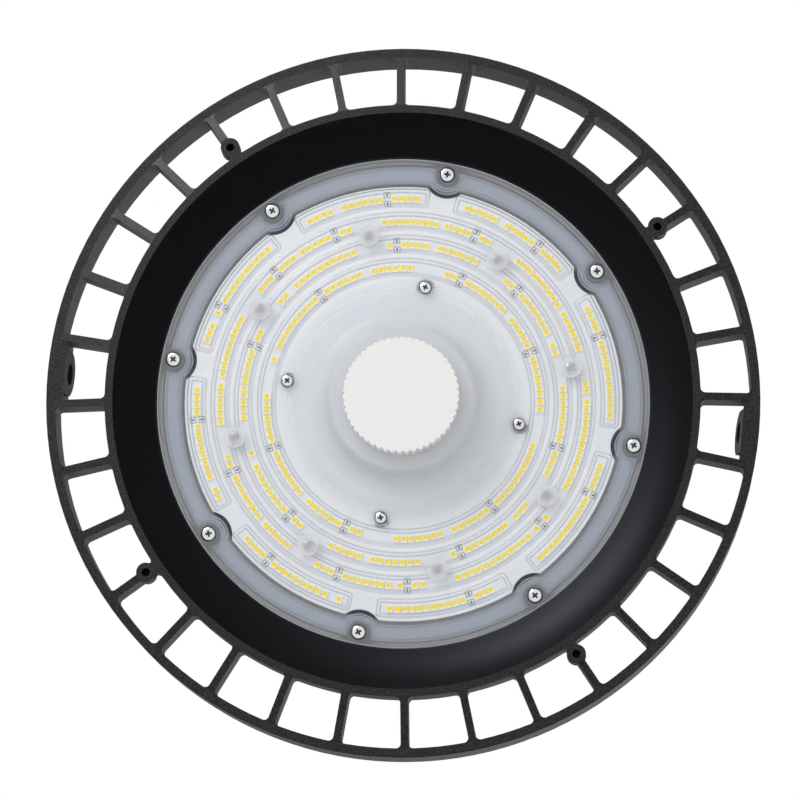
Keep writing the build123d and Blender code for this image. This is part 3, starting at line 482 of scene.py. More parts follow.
    def material(self) -> Material:
        """Build the sheet, which lets the lamps through to the board.

        Returns:
            The material.
        """
        nodes = Nodes("clear_polycarbonate")
        outside = self.underside(nodes)
        haze = self.haze(nodes, outside)
        sheet = nodes.add(
            "MixShader", {0: haze, 1: self.see_through(nodes), 2: self.milky(nodes)}
        )
        waves = nodes.add(
            "Bump",
            {"Height": nodes.grain(self.wave_mm, 1.0), "Distance": self.wave_depth_mm * MM},
        )
        gloss = nodes.add(
            "BsdfAnisotropic",
            {"Color": linear("FFFFFF"), "Roughness": self.roughness, "Normal": waves},
        )
        clear = nodes.add(
            "Math", {0: outside, 1: haze}, operation="SUBTRACT", use_clamp=True
        )
        share = nodes.add(
            "Math", {0: self.mirrored(nodes), 1: clear}, operation="MULTIPLY"
        )
        return nodes.finish(nodes.add("MixShader", {0: share, 1: sheet, 2: gloss}))


@dataclass(frozen=True)
class EtchedPolycarbonate:
    """Polycarbonate against an etched mould face: it blurs what is behind it.

    Step 0 is the plain face, and the later steps are painted shade for the blur of a screw's head,
    darker towards its recess.
    """

    step: int
    # Painted shade: each later step's milk is darker, for the blurred screw head and its recess
    # behind the pad.
    milk: tuple[str, ...] = ("F0F1F4", "E4E5E9", "D4D5D9", "C4C5C9")
    haze: tuple[float, ...] = (0.5, 0.6, 0.7, 0.8)
    patch_mm: float = 1.5
    patch: float = 0.05

    def material(self) -> Material:
        """Build a hazy sheet.

        Returns:
            The material.
        """
        nodes = Nodes(f"etched_polycarbonate_{self.step}")
        see_through = nodes.add("BsdfTransparent", {"Color": linear("FFFFFF")})
        milk = nodes.add("BsdfDiffuse", {"Color": linear(self.milk[self.step])})
        share = self.haze[self.step]
        haze = nodes.add(
            "MapRange",
            {
                "Value": nodes.grain(self.patch_mm),
                "To Min": share - self.patch,
                "To Max": share + self.patch,
            },
        )
        return nodes.finish(nodes.add("MixShader", {0: haze, 1: see_through, 2: milk}))


@dataclass(frozen=True)
class Moulding:
    """Plastic, rubber, ink or ceramic of one colour, with a fine grain and slight mottling.

    The grain is coarser than a real moulded face has, so that it shows.
    """

    name: str
    colour: str
    roughness: float = 0.5
    grain_mm: float = 0.8
    depth_mm: float = 0.015
    mottle: float = 0.04
    specular: float = 0.5
    mottle_mm: float = 9.0
    patch_mm: float = 3.0
    patch: float = 0.05

    def material(self) -> Material:
        """Build the finish in this colour.

        Returns:
            The material.
        """
        nodes = Nodes(self.name)
        shade = nodes.add(
            "MapRange",
            {
                "Value": nodes.grain(self.mottle_mm),
                "To Min": 1 - self.mottle,
                "To Max": 1 + self.mottle,
            },
        )
        colour = nodes.add(
            "VectorMath", {0: linear(self.colour)[:3], "Scale": shade}, operation="SCALE"
        )
        rough = nodes.add(
            "MapRange",
            {
                "Value": nodes.grain(self.patch_mm),
                "To Min": self.roughness - self.patch,
                "To Max": self.roughness + self.patch,
            },
        )
        relief = nodes.add(
            "Bump", {"Height": nodes.grain(self.grain_mm), "Distance": self.depth_mm * MM}
        )
        shader = nodes.add(
            "BsdfPrincipled",
            {
                "Base Color": colour,
                "Roughness": rough,
                "Normal": relief,
                "Specular IOR Level": self.specular,
            },
        )
        return nodes.finish(shader)


@dataclass(frozen=True)
class PlatedSteel:
    """Steel with a bright plating: a soft mirror with fine drawn lines, and painted shade at its
    edges.

    Real drawn lines are finer, and these are as coarse as they need to be to show.
    """

    name: str
    plating: Plating
    roughness: float = 0.2
    smoother: float = 0.06
    rougher: float = 0.08
    edge_shade_colour: str = "1E1E20"
    edge_shade: float = 2.1
    line_mm: float = 0.5
    line_stretch: float = 0.15
    line_depth_mm: float = 0.004

    def material(self) -> Material:
        """Build the plating with its lines along the light's axis.

        Returns:
            The material.
        """
        nodes = Nodes(self.name)
        stretched = nodes.add(
            "Mapping", {"Vector": nodes.place, "Scale": (1.0, 1.0, self.line_stretch)}
        )
        lines = nodes.add(
            "TexNoise",
            {"Vector": stretched, "Scale": 1 / (self.line_mm * MM), "Detail": 1.0},
        )
        # Painted shade: the plating is drawn darker where it is seen aslant, standing in for dark
        # surroundings mirrored at its edges.
        slope = nodes.add("LayerWeight").outputs["Facing"]
        shade = nodes.add("MapRange", {"Value": slope, "To Max": self.edge_shade})
        colour = nodes.add(
            "Mix",
            {"Factor": shade, 6: linear(self.plating.value), 7: linear(self.edge_shade_colour)},
            data_type="RGBA",
        )
        rough = nodes.add(
            "MapRange",
            {
                "Value": lines,
                "To Min": self.roughness - self.smoother,
                "To Max": self.roughness + self.rougher,
            },
        )
        relief = nodes.add("Bump", {"Height": lines, "Distance": self.line_depth_mm * MM})
        shader = nodes.add(
            "BsdfPrincipled",
            {
                "Base Color": colour.outputs[2],
                "Metallic": 1.0,
                "Roughness": rough,
                "Normal": relief,
            },
        )
        return nodes.finish(shader)


def dress(piece: Piece, *materials: Material) -> None:
    """Give a piece these materials in place of its own.

    Args:
        piece: the piece, or a CAD node.
        materials: its materials, in the order of its face indices.
    """
    piece.data.materials.clear()
    for material in materials:
        piece.data.materials.append(material)


def dress_picked(piece: Piece, index: int) -> None:
    """Give the faces that were last picked one of the piece's materials.

    Args:
        piece: the piece, out of edit mode.
        index: the place of the material in its list.
    """
    for face in piece.data.polygons:
        if face.select:
            face.material_index = index


def enter_edit() -> None:
    """Go to edit mode."""
    bpy.ops.object.mode_set(mode="EDIT")


def leave_edit() -> None:
    """Go back to object mode."""
    bpy.ops.object.mode_set(mode="OBJECT")


def alone(piece: Piece) -> None:
    """Leave edit mode, select one piece and make it active.

    Args:
        piece: the piece.
    """
    if bpy.context.mode != "OBJECT":
        leave_edit()
    bpy.ops.object.select_all(action="DESELECT")
    piece.select_set(True)
    bpy.context.view_layer.objects.active = piece


def edit(piece: Piece, wanted: Callable[..., bool], handle: Handle = Handle.FACES) -> None:
    """Enter edit mode with some faces or points of a piece picked.

    Args:
        piece: the mesh to work on.
        wanted: tells whether a face or point is to be picked.
        handle: which of the two are picked.
    """
    alone(piece)
    enter_edit()
    bpy.ops.mesh.select_mode(type=handle.value)
    bpy.ops.mesh.select_all(action="DESELECT")
    leave_edit()
    mesh = piece.data
    for part in mesh.polygons if handle is Handle.FACES else mesh.vertices:
        part.select = wanted(part)
    enter_edit()


def facing(direction: Point) -> Callable[[bpy.types.MeshPolygon], bool]:
    """A test for faces that point in a direction."""
    return lambda face: face.normal.dot(Vector(direction)) > FACING


def block(name: str, size: Point, centre: Point) -> Piece:
    """Add a block with its place applied to its mesh.

    Args:
        name: the piece's name.
        size: its length, width and height.
        centre: its middle.

    Returns:
        The block.
    """
    bpy.ops.object.select_all(action="DESELECT")
    bpy.ops.mesh.primitive_cube_add(size=1, location=centre)
    made = bpy.context.object
    made.name = name
    made.scale = size
    bpy.ops.object.transform_apply(location=True, rotation=True, scale=True)
    return made


def cylinder(name: str, radius: float, depth: float, centre: Point, sides: int = 48) -> Piece:
    """Add an upright cylinder with its place applied to its mesh.

    Args:
        name: the piece's name.
        radius: the radius of its corners.
        depth: its height.
        centre: its middle.
        sides: how many flat sides make it round.

    Returns:
        The cylinder.
    """
    bpy.ops.object.select_all(action="DESELECT")
    bpy.ops.mesh.primitive_cylinder_add(
        vertices=sides, radius=radius, depth=depth, location=centre
    )
    made = bpy.context.object
    made.name = name
    bpy.ops.object.transform_apply(location=True)
    return made


def subtract(piece: Piece, cutter: Piece) -> None:
    """Cut a cutter out of a piece and remove the cutter.

    Args:
        piece: the mesh that is cut.
        cutter: the mesh whose shape is taken away.
    """
    alone(piece)
    cut = piece.modifiers.new("cut", "BOOLEAN")
    cut.operation = "DIFFERENCE"
    cut.solver = "EXACT"
    cut.object = cutter
    bpy.ops.object.modifier_apply(modifier=cut.name)
    bpy.data.objects.remove(cutter)


def smooth(piece: Piece, degrees: float) -> None:
    """Shade a piece smoothly over edges that turn less than this."""
    alone(piece)
    bpy.ops.object.shade_smooth_by_angle(angle=math.radians(degrees))


def join(pieces: Sequence[Piece], name: str) -> Piece:
    """Join pieces into one, with its place in its mesh.

    Args:
        pieces: the pieces, of which the first takes in the others.
        name: the name of the joined piece.

    Returns:
        The joined piece.
    """
    alone(pieces[0])
    for piece in pieces:
        piece.select_set(True)
    bpy.ops.object.join()
    joined = bpy.context.object
    joined.name = name
    bpy.ops.object.transform_apply(location=True, rotation=True, scale=True)
    return joined


def repeat(template: Piece, places: Iterable[Matrix], name: str) -> Piece:
    """Copy a finished template to every place and join the copies.

    Args:
        template: the piece modelled once at the origin, which is removed.
        places: where each copy goes.
        name: the name of the joined piece.

    Returns:
        The joined piece.
    """
    copies = []
    for place in places:
        copy = template.copy()
        copy.data = template.data.copy()
        bpy.context.scene.collection.objects.link(copy)
        copy.matrix_world = place
        copies.append(copy)
    bpy.data.objects.remove(template)
    return join(copies, name)


def loose_solids(node: Piece) -> list[tuple[Vector, Vector]]:
    """Find the separate solids of a CAD node.

    Args:
        node: the node, whose mesh is only read.

    Returns:
        The lowest and highest corner of each solid's box, in order of place.
    """
    shell = bmesh.new()
    shell.from_mesh(node.data)
    bmesh.ops.remove_doubles(shell, verts=shell.verts, dist=SAME_PLACE)
    left = set(shell.verts)
    boxes = []
    while left:
        queue = [left.pop()]
        low = Vector(queue[0].co)
        high = Vector(queue[0].co)
        while queue:
            vert = queue.pop()
            low = Vector(map(min, low, vert.co))
            high = Vector(map(max, high, vert.co))
            for edge in vert.link_edges:
                other = edge.other_vert(vert)
                if other in left:
                    left.remove(other)
                    queue.append(other)
        boxes.append((low, high))
    shell.free()
    return sorted(boxes, key=lambda box: tuple(box[0]))


def radial_places(node: Piece, level: float) -> list[Matrix]:
    """Find a place for each solid of a node, turned so that local X points outwards.

    Args:
        node: the CAD node.
        level: the height of the places.

    Returns:
        One place for each solid, at its middle.
    """
    places = []
    for low, high in loose_solids(node):
        x, y = (low.x + high.x) / 2, (low.y + high.y) / 2
        turn = Matrix.Rotation(math.atan2(y, x), 4, "Z")
        places.append(Matrix.Translation((x, y, level)) @ turn)
    return places


def show(piece: Piece, slot: str, *replaced: str) -> None:
    """Fix a finished piece to the light, in place of the CAD nodes that it stands for.

    Args:
        piece: the finished piece.
        slot: not used.
        replaced: the nodes that it stands for, if any.
    """
    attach(piece, "root")
    if replaced:
        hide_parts(*replaced)
    log.info("piece %s: %d faces", piece.name, len(piece.data.polygons))


@dataclass
class Finishes:
    """Every material of the light, by name."""

    made: dict[str, Material] = field(default_factory=dict)

    def __getitem__(self, name: str) -> Material:
        """The material with this name."""
        return self.made[name]

    def make(self) -> None:
        """Build each material once."""
        for finish in (*self.coats(), *self.mouldings(), *self.board_mouldings()):
            material = finish.material()
            # A packed material may already have the name, and then a number follows it.
            self.made[material.name.split(".")[0]] = material

    def coats(self) -> tuple[Finish, ...]:
        """The finishes that have a build of their own.

        Returns:
            Each finish. Their classes say what they give the eye.
        """
        return (
            PowderCoat(),
            ClearPolycarbonate(),
            *(EtchedPolycarbonate(step) for step in range(ETCH_STEPS)),
            # Electroplated nickel: the brighter and sharper mirror.
            PlatedSteel("nickel_plated_steel", Plating.NICKEL, roughness=0.16),
            # Electroplated zinc: greyer and softer.
            PlatedSteel("zinc_plated_steel", Plating.ZINC, roughness=0.26),
        )

    def mouldings(self) -> tuple[Finish, ...]:
        """The plain plastics and rubbers of the body.

        Returns:
            Each finish, after a comment on what it gives the eye.
        """
        return (
            # Injection-moulded ABS with a matt mould face: an even soft white.
            Moulding(
                "white_abs",
                "F0F0EF",
                grain_mm=0.6,
                depth_mm=0.004,
                mottle=0.008,
                specular=0.3,
            ),
            # Moulded silicone: matt blue grey through the lens.
            Moulding("grey_silicone", "8593A7", roughness=0.6),
            # Painted shade: the same silicone drawn darker down in a groove, where less light
            # reaches it.
            Moulding("silicone_groove_shade", "4F5969", roughness=0.6),
            # Moulded nylon: near black, with a faint sheen.
            Moulding("black_nylon", "1B1B1D", depth_mm=0.02, mottle=0.1),
            # Cast rubber: dull black.
            Moulding(
                "black_rubber",
                "141415",
                roughness=0.8,
                depth_mm=0.02,
                mottle=0.1,
                specular=0.3,
            ),
            # Extruded silicone on the wires: a clean, slightly glossy red.
            Moulding("red_insulation", "A01C14", roughness=0.4),
            # Painted shade in a screw's recess, where little light reaches: plated steel drawn
            # dull dark grey.
            Moulding("recess_shade", "3B3A38", grain_mm=0.3, depth_mm=0.005, mottle=0.1),
        )

    def board_mouldings(self) -> tuple[Finish, ...]:
        """The finishes of the board and of what is soldered on it.

        Returns:
            Each finish, after a comment on what it gives the eye.
        """
        return (
            # Sprayed epoxy solder mask: a flat, slightly blue white.
            Moulding(
                "white_solder_mask",
                "E6E9EE",
                roughness=0.42,
                grain_mm=0.7,
                depth_mm=0.01,
                mottle=0.015,
            ),
            # Screen-printed epoxy ink: thin grey lines.
            Moulding(
                "grey_print", "777B84", roughness=0.6, grain_mm=0.3, depth_mm=0.005, mottle=0.05
            ),
            # Moulded polyamide packages: the brightest white on the board.
            Moulding(
                "white_package",
                "F6F7F8",
                roughness=0.4,
                grain_mm=0.3,
                depth_mm=0.005,
                mottle=0.02,
            ),
            # Cast silicone with phosphor: a deep warm yellow.
            Moulding(
                "phosphor_silicone",
                "FFDF10",
                roughness=0.35,
                grain_mm=0.4,
                depth_mm=0.01,
                mottle=0.05,
                specular=0.2,
            ),
            # The same silicone where it thins out at the white wall: pale yellow.
            Moulding(
                "thin_phosphor_silicone",
                "FFEF8A",
                roughness=0.35,
                grain_mm=0.4,
                depth_mm=0.01,
                mottle=0.05,
                specular=0.2,
            ),
            # Fired ceramic under glass: mid grey.
            Moulding("chip_ceramic", "6A6A6C", roughness=0.55, grain_mm=0.3, depth_mm=0.01),
            # Dipped solder: bright grey white, like the board around it.
            Moulding(
                "tinned_end", "F2F2F0", roughness=0.3, grain_mm=0.3, depth_mm=0.01, mottle=0.03
            ),
        )


@dataclass
class LedPackages:
    """White moulded packages, each with a square window of phosphor silicone."""

    length: float = 3.5 * MM
    width: float = 2.8 * MM
    height: float = 0.75 * MM
    window: float = 2.6 * MM
    window_sink: float = 0.12 * MM
    pale_ring: float = 0.5 * MM
    edge: float = 0.06 * MM

    def template(self, finishes: Finishes) -> Piece:
        """Model one package, its foot at z = 0 and its window facing down.

        Args:
            finishes: the light's materials.

        Returns:
            The package at the origin.
        """
        package = block(
            "led_package", (self.length, self.width, self.height), (0, 0, -self.height / 2)
        )
        dress(
            package,
            finishes["white_package"],
            finishes["thin_phosphor_silicone"],
            finishes["phosphor_silicone"],
        )
        edit(package, facing((0, 0, -1)))
        bpy.ops.mesh.bevel(offset=self.edge, segments=1)
        leave_edit()
        edit(package, facing((0, 0, -1)))
        rim = (self.width - 2 * self.edge - self.window) / 2
        bpy.ops.mesh.inset(thickness=rim)
        # The window is square, and the package is longer than wide.
        across = self.length - 2 * self.edge - 2 * rim
        bpy.ops.transform.resize(value=(self.window / across, 1, 1))
        bpy.ops.mesh.inset(thickness=self.edge)
        bpy.ops.transform.translate(value=(0, 0, self.window_sink))
        leave_edit()
        dress_picked(package, 1)
        enter_edit()
        bpy.ops.mesh.inset(thickness=self.pale_ring)
        leave_edit()
        dress_picked(package, 2)
        return package

    def build(self, nodes: dict[str, Piece], finishes: Finishes) -> None:
        """Set a package at each LED of the board.

        Args:
            nodes: the CAD nodes by name.
            finishes: the light's materials.
        """
        places = radial_places(nodes["led_packages"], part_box("led_packages")[1].z)
        packages = repeat(self.template(finishes), places, "led_package_set")
        show(packages, "led_phosphor", "led_packages")


@dataclass
class BoardResistors:
    """Chip resistors: a dark body between two tinned ends, inside a thin printed frame."""

    frame_length: float = 2.7 * MM
    frame_width: float = 2.9 * MM
    frame_line: float = 0.26 * MM
    frame_height: float = 0.05 * MM
    frame_sink: float = 0.045 * MM
    chip_length: float = 1.3 * MM
    chip_width: float = 2.0 * MM
    chip_height: float = 0.5 * MM
    body_height: float = 0.45 * MM
    end_length: float = 1.326 * MM
    end_width: float = 0.62 * MM
    end_edge: float = 0.06 * MM

    def printed_frame(self, finishes: Finishes) -> Piece:
        """Model the frame round one resistor, with the board's white inside it.

        Args:
            finishes: the light's materials.

        Returns:
            The frame at the origin.
        """
        size = (self.frame_length, self.frame_width, self.frame_height)
        printed = block("print", size, (0, 0, -self.frame_height / 2))
        dress(printed, finishes["grey_print"], finishes["white_solder_mask"])
        edit(printed, facing((0, 0, -1)))
        bpy.ops.mesh.inset(thickness=self.frame_line)
        bpy.ops.transform.translate(value=(0, 0, self.frame_sink))
        leave_edit()
        dress_picked(printed, 1)
        return printed

    def template(self, finishes: Finishes) -> Piece:
        """Model one resistor, its foot at z = 0, with its ends along local Y.

        Args:
            finishes: the light's materials.

        Returns:
            The resistor at the origin.
        """
        body_width = self.chip_width - 2 * self.end_width
        size = (self.chip_length, body_width, self.body_height)
        body = block("body", size, (0, 0, -self.body_height / 2))
        dress(body, finishes["chip_ceramic"])
        pieces = [self.printed_frame(finishes), body]
        for side in (-1, 1):
            aside = side * (body_width + self.end_width) / 2
            size = (self.end_length, self.end_width, self.chip_height)
            end = block("end", size, (0, aside, -self.chip_height / 2))
            dress(end, finishes["tinned_end"])
            edit(end, lambda face: True)
            bpy.ops.mesh.bevel(offset=self.end_edge, segments=1)
            leave_edit()
            pieces.append(end)
        return join(pieces, "board_resistor")

    def build(self, nodes: dict[str, Piece], finishes: Finishes) -> None:
        """Set a resistor at each place of the board.

        Args:
            nodes: the CAD nodes by name.
            finishes: the light's materials.
        """
        places = radial_places(nodes["board_resistors"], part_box("board_resistors")[1].z)
        resistors = repeat(self.template(finishes), places, "board_resistor_set")
        show(resistors, "chip_ceramic", "board_resistors")


@dataclass
class CrossScrews:
    """Pan head screws with a cross recess, in place of a node of plain ones.

    A wing is one bar of the cross. Its sizes are shares of the head's radius and height.
    """

    node: str
    name: str
    finish: str
    slot: str
    radius: float = 1.5 * MM
    head_radius: float = 2.9 * MM
    head_height: float = 1.9 * MM
    head_up: bool = False
    head_sides: int = 32
    crown: float = 0.62
    crown_round: float = 0.5
    crown_steps: int = 5
    tip: float = 0.25
    wing_length: float = 1.2
    wing_width: float = 0.32
    wing_depth: float = 1.2
    wing_taper: tuple[float, float] = (0.45, 0.8)
    turn_step: float = 37.0
    smooth_angle: float = 35.0

    def wing(self, turn: float, coats: Sequence[Material]) -> Piece:
        """Model one bar of the cross recess, narrower towards its bottom.

        Args:
            turn: the bar's turn about the screw, in degrees.
            coats: the plating and the painted shade inside the recess.

        Returns:
            The bar, which the head is cut with.
        """
        size = (
            self.head_radius * self.wing_length,
            self.head_radius * self.wing_width,
            self.head_height * self.wing_depth,
        )
        wing = block("wing", size, (0, 0, -self.head_height))
        dress(wing, *coats)
        # Every face of the bar wears the recess's painted shade, which the cut leaves inside the
        # head.
        for face in wing.data.polygons:
            face.material_index = 1
        edit(wing, facing((0, 0, 1)))
        bpy.ops.transform.resize(value=(*self.wing_taper, 1))
        leave_edit()
        wing.matrix_world = Matrix.Rotation(math.radians(turn), 4, "Z")
        return wing

    def template(self, length: float, coats: Sequence[Material]) -> Piece:
        """Model one screw with its head down, its seat at z = 0 and its shank up.

        Args:
            length: the shank's length.
            coats: the plating and the painted shade inside the recess.

        Returns:
            The screw at the origin.
        """
        middle = (0, 0, -self.head_height / 2)
        screw = cylinder("screw", self.head_radius, self.head_height, middle, self.head_sides)
        edit(screw, facing((0, 0, -1)))
        bpy.ops.mesh.bevel(
            offset=self.head_height * self.crown,
            segments=self.crown_steps,
            profile=self.crown_round,
        )
        leave_edit()
        edit(screw, facing((0, 0, 1)))
        bpy.ops.mesh.inset(thickness=self.head_radius - self.radius)
        bpy.ops.mesh.extrude_region_move(TRANSFORM_OT_translate={"value": (0, 0, length)})
        bpy.ops.mesh.bevel(offset=self.radius * self.tip, segments=1)
        leave_edit()
        dress(screw, *coats)
        for turn in (0, 90):
            subtract(screw, self.wing(turn, coats))
        smooth(screw, self.smooth_angle)
        return screw

    def build(self, nodes: dict[str, Piece], finishes: Finishes) -> None:
        """Set a screw at each place of its node, each turned on from the one before.

        Args:
            nodes: the CAD nodes by name.
            finishes: the light's materials.
        """
        solids = loose_solids(nodes[self.node])
        low, high = solids[0]
        length = high.z - low.z - self.head_height
        flip = Matrix.Rotation(math.pi, 4, "X") if self.head_up else Matrix.Identity(4)
        places = []
        for index, (low, high) in enumerate(solids, start=1):
            seat = high.z - self.head_height if self.head_up else low.z + self.head_height
            middle = ((low.x + high.x) / 2, (low.y + high.y) / 2, seat)
            turn = Matrix.Rotation(math.radians(self.turn_step * index), 4, "Z")
            places.append(Matrix.Translation(middle) @ turn @ flip)
        screw = self.template(length, (finishes[self.finish], finishes["recess_shade"]))
        show(repeat(screw, places, self.name), self.slot, self.node)


@dataclass
class LensGasket:
    """Silicone ring behind the lens that loops inside each lens screw.

    Each of its layers stands in from the one before: the foot, the groove in painted shade and the
    bead.
    """

    outer_radius: float = 107.5 * MM
    inner_radius: float = 100.1 * MM
    loop_radius: float = 8.8 * MM
    hole_radius: float = 5.5 * MM
    behind_lens: float = 0.12 * MM
    layer_height: float = 0.04 * MM
    insets: tuple[float, ...] = (0.0, 0.6 * MM, 1.3 * MM)
    layer_finishes: tuple[str, ...] = ("grey_silicone", "silicone_groove_shade", "grey_silicone")
    ring_sides: int = 256

    def layer(
        self, inset: float, depth: float, middle: float, screws: Sequence[tuple[float, float]]
    ) -> Piece:
        """Cut the ring's inside and the screws' places out of a disc.

        Args:
            inset: how far the outline stands in from the gasket's own.
            depth: the layer's height.
            middle: the level of its middle.
            screws: where the lens screws stand.

        Returns:
            The ring.
        """
        at = (0, 0, middle)
        outer = self.outer_radius - inset
        inner = self.inner_radius + inset
        # Each cutter is taller than what it cuts, so that no two faces lie on each other.
        ring = cylinder("ring", outer, depth, at, self.ring_sides)
        inside = cylinder("inside", inner, 2 * depth, at, self.ring_sides)
        for x, y in screws:
            loop = cylinder("loop", self.loop_radius - inset, 3 * depth, (x, y, middle))
            subtract(inside, loop)
        subtract(ring, inside)
        for x, y in screws:
            hole = cylinder("hole", self.hole_radius + inset, 3 * depth, (x, y, middle))
            subtract(ring, hole)
        return ring

    def build(self, nodes: dict[str, Piece], finishes: Finishes) -> None:
        """Stack the layers, the last one nearest the lens.

        Args:
            nodes: the CAD nodes by name.
            finishes: the light's materials.
        """
        low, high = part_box("lens_gasket")
        screws = [
            ((start.x + end.x) / 2, (start.y + end.y) / 2)
            for start, end in loose_solids(nodes["lens_screws"])
        ]
        front = low.z + self.behind_lens
        layers = []
        for inset, finish in zip(self.insets, self.layer_finishes):
            depth = high.z - front
            layer = self.layer(inset, depth, high.z - depth / 2, screws)
            dress(layer, finishes[finish])
            layers.append(layer)
            front -= self.layer_height
        show(join(layers, "lens_gasket_ring"), "grey_silicone", "lens_gasket")


@dataclass
class KnurledCap:
    """Blank cap of the sensor port, whose round teeth reach its flat face."""

    radius: float = 26.0 * MM
    height: float = 9.0 * MM
    face_thickness: float = 2.5 * MM
    face_edge: float = 0.3 * MM
    edge_steps: int = 2
    rim_wall: float = 3.1 * MM
    bore_radius: float = 19.05 * MM
    skirt_wall: float = 2.4 * MM
    groove_depth: float = 5.5 * MM
    tooth_count: int = 50
    tooth_radius: float = 1.75 * MM
    tooth_steps: int = 6
    smooth_angle: float = 20.0

    @property
    def sides(self) -> int:
        """How many points the outline has."""
        return self.tooth_count * self.tooth_steps

    @property
    def groove_outer(self) -> float:
        """Outer radius of the groove in the cap's back."""
        return self.radius - self.rim_wall

    @property
    def skirt_outer(self) -> float:
        """Outer radius of the skirt, where the groove starts."""
        return self.bore_radius + self.skirt_wall

    def tooth(self, step: int) -> float:
        """Work out the outline between the middle of a tooth and the valley beside it.

        Args:
            step: how many points the outline is past the tooth's middle.

        Returns:
            Its distance from the cap's axis.
        """
        centre = self.radius - self.tooth_radius
        angle = 2 * math.pi * step / self.sides
        return centre * math.cos(angle) + math.sqrt(
            self.tooth_radius**2 - (centre * math.sin(angle)) ** 2
        )

    def at_step(self, step: int, point: bpy.types.MeshVertex) -> bool:
        """Tell whether a point of the rim is at one step from the middle of a tooth.

        Args:
            step: how many points past the middle, on either side.
            point: a point of the cap.

        Returns:
            Whether it is.
        """
        turns = math.atan2(point.co.y, point.co.x) / (2 * math.pi)
        phase = round(turns * self.sides) % self.tooth_steps
        on_rim = point.co.xy.length > self.radius - self.face_edge
        return on_rim and min(phase, self.tooth_steps - phase) == step

    def in_groove(self, back: float, face: bpy.types.MeshPolygon) -> bool:
        """Tell whether a face of the cap's back is between the skirt and the rim.

        Args:
            back: the level of the cap's back.
            face: a face of the cap.

        Returns:
            Whether it is.
        """
        between = self.skirt_outer < face.center.xy.length < self.groove_outer
        return between and abs(face.center.z - back) < self.face_edge

    def cut_teeth(self, cap: Piece) -> None:
        """Draw in the outline between the teeth, one step of every tooth at a time.

        Args:
            cap: the plain round cap.
        """
        for step in range(1, self.tooth_steps // 2 + 1):
            share = self.tooth(step) / self.radius
            edit(cap, partial(self.at_step, step), Handle.POINTS)
            bpy.ops.transform.resize(value=(share, share, 1), center_override=(0, 0, 0))
            leave_edit()

    def cut_back(self, cap: Piece, back: float) -> None:
        """Sink the bore, and the groove between the skirt and the rim, into the cap's back.

        Args:
            cap: the plain round cap.
            back: the level of its back.
        """
        edit(cap, facing((0, 0, 1)))
        bpy.ops.mesh.inset(thickness=self.rim_wall)
        bpy.ops.mesh.inset(thickness=self.groove_outer - self.skirt_outer)
        bpy.ops.mesh.inset(thickness=self.skirt_wall)
        bore = (0, 0, self.face_thickness - self.height)
        bpy.ops.mesh.extrude_region_move(TRANSFORM_OT_translate={"value": bore})
        leave_edit()
        edit(cap, partial(self.in_groove, back))
        groove = (0, 0, -self.groove_depth)
        bpy.ops.mesh.extrude_region_move(TRANSFORM_OT_translate={"value": groove})
        leave_edit()

    def build(self, nodes: dict[str, Piece], finishes: Finishes) -> None:
        """Model the cap from a plain cylinder: its back, its teeth and its front edge.

        Args:
            nodes: not used.
            finishes: the light's materials.
        """
        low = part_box("sensor_cap")[0].z
        middle = (0, 0, low + self.height / 2)
        cap = cylinder("knurled_sensor_cap", self.radius, self.height, middle, self.sides)
        self.cut_back(cap, low + self.height)
        self.cut_teeth(cap)
        edit(cap, facing((0, 0, -1)))
        bpy.ops.mesh.bevel(offset=self.face_edge, segments=self.edge_steps)
        leave_edit()
        smooth(cap, self.smooth_angle)
        dress(cap, finishes["white_abs"])
        show(cap, "white_plastic", "sensor_cap")


@dataclass
class LensPads:
    """Etched round faces of the lens over the board screws, each with a thin raised edge."""

    radius: float = 4.85 * MM
    edge: float = 0.3 * MM
    thickness: float = 0.08 * MM
    above_screw: float = 2.2 * MM
    shade_radii: tuple[float, ...] = (3.0 * MM, 2.3 * MM, 1.5 * MM)

    def template(self, finishes: Finishes) -> Piece:
        """Model one pad face, its back at z = 0, with painted shade towards the screw behind it.

        Args:
            finishes: the light's materials.

        Returns:
            The pad face at the origin.
        """
        pad = cylinder("pad", self.radius, self.thickness, (0, 0, -self.thickness / 2))
        dress(pad, *(finishes[f"etched_polycarbonate_{step}"] for step in range(ETCH_STEPS)))
        edit(pad, facing((0, 0, -1)))
        bpy.ops.mesh.inset(thickness=self.edge)
        bpy.ops.transform.translate(value=(0, 0, self.thickness / 2))
        leave_edit()
        outer = self.radius - self.edge
        for step, inner in enumerate(self.shade_radii, start=1):
            enter_edit()
            bpy.ops.mesh.inset(thickness=outer - inner)
            leave_edit()
            dress_picked(pad, step)
            outer = inner
        return pad

    def build(self, nodes: dict[str, Piece], finishes: Finishes) -> None:
        """Set a pad face on the lens below each board screw.

        Args:
            nodes: the CAD nodes by name.
            finishes: the light's materials.
        """
        places = []
        for low, high in loose_solids(nodes["board_screws"]):
            level = low.z - self.above_screw
            middle = ((low.x + high.x) / 2, (low.y + high.y) / 2, level)
            places.append(Matrix.Translation(middle))
        show(repeat(self.template(finishes), places, "lens_pad_faces"), "clear_lens")


@dataclass(frozen=True)
class SoftLamp:
    """Square soft lamp that faces the light.

    Its place and side are in metres and its power is in watts. A sheen lamp only shows in gloss.
    """

    name: str
    place: Point
    side: float
    power: float
    sheen_only: bool = False

    def hang(self) -> None:
        """Add the lamp to the scene."""
        data = bpy.data.lights.new(self.name, "AREA")
        data.size = self.side
        data.energy = self.power
        lamp = bpy.data.objects.new(self.name, data)
        lamp.location = self.place
        lamp.rotation_euler = (-Vector(self.place)).to_track_quat("-Z", "Y").to_euler()
        lamp.visible_diffuse = not self.sheen_only
        bpy.context.scene.collection.objects.link(lamp)


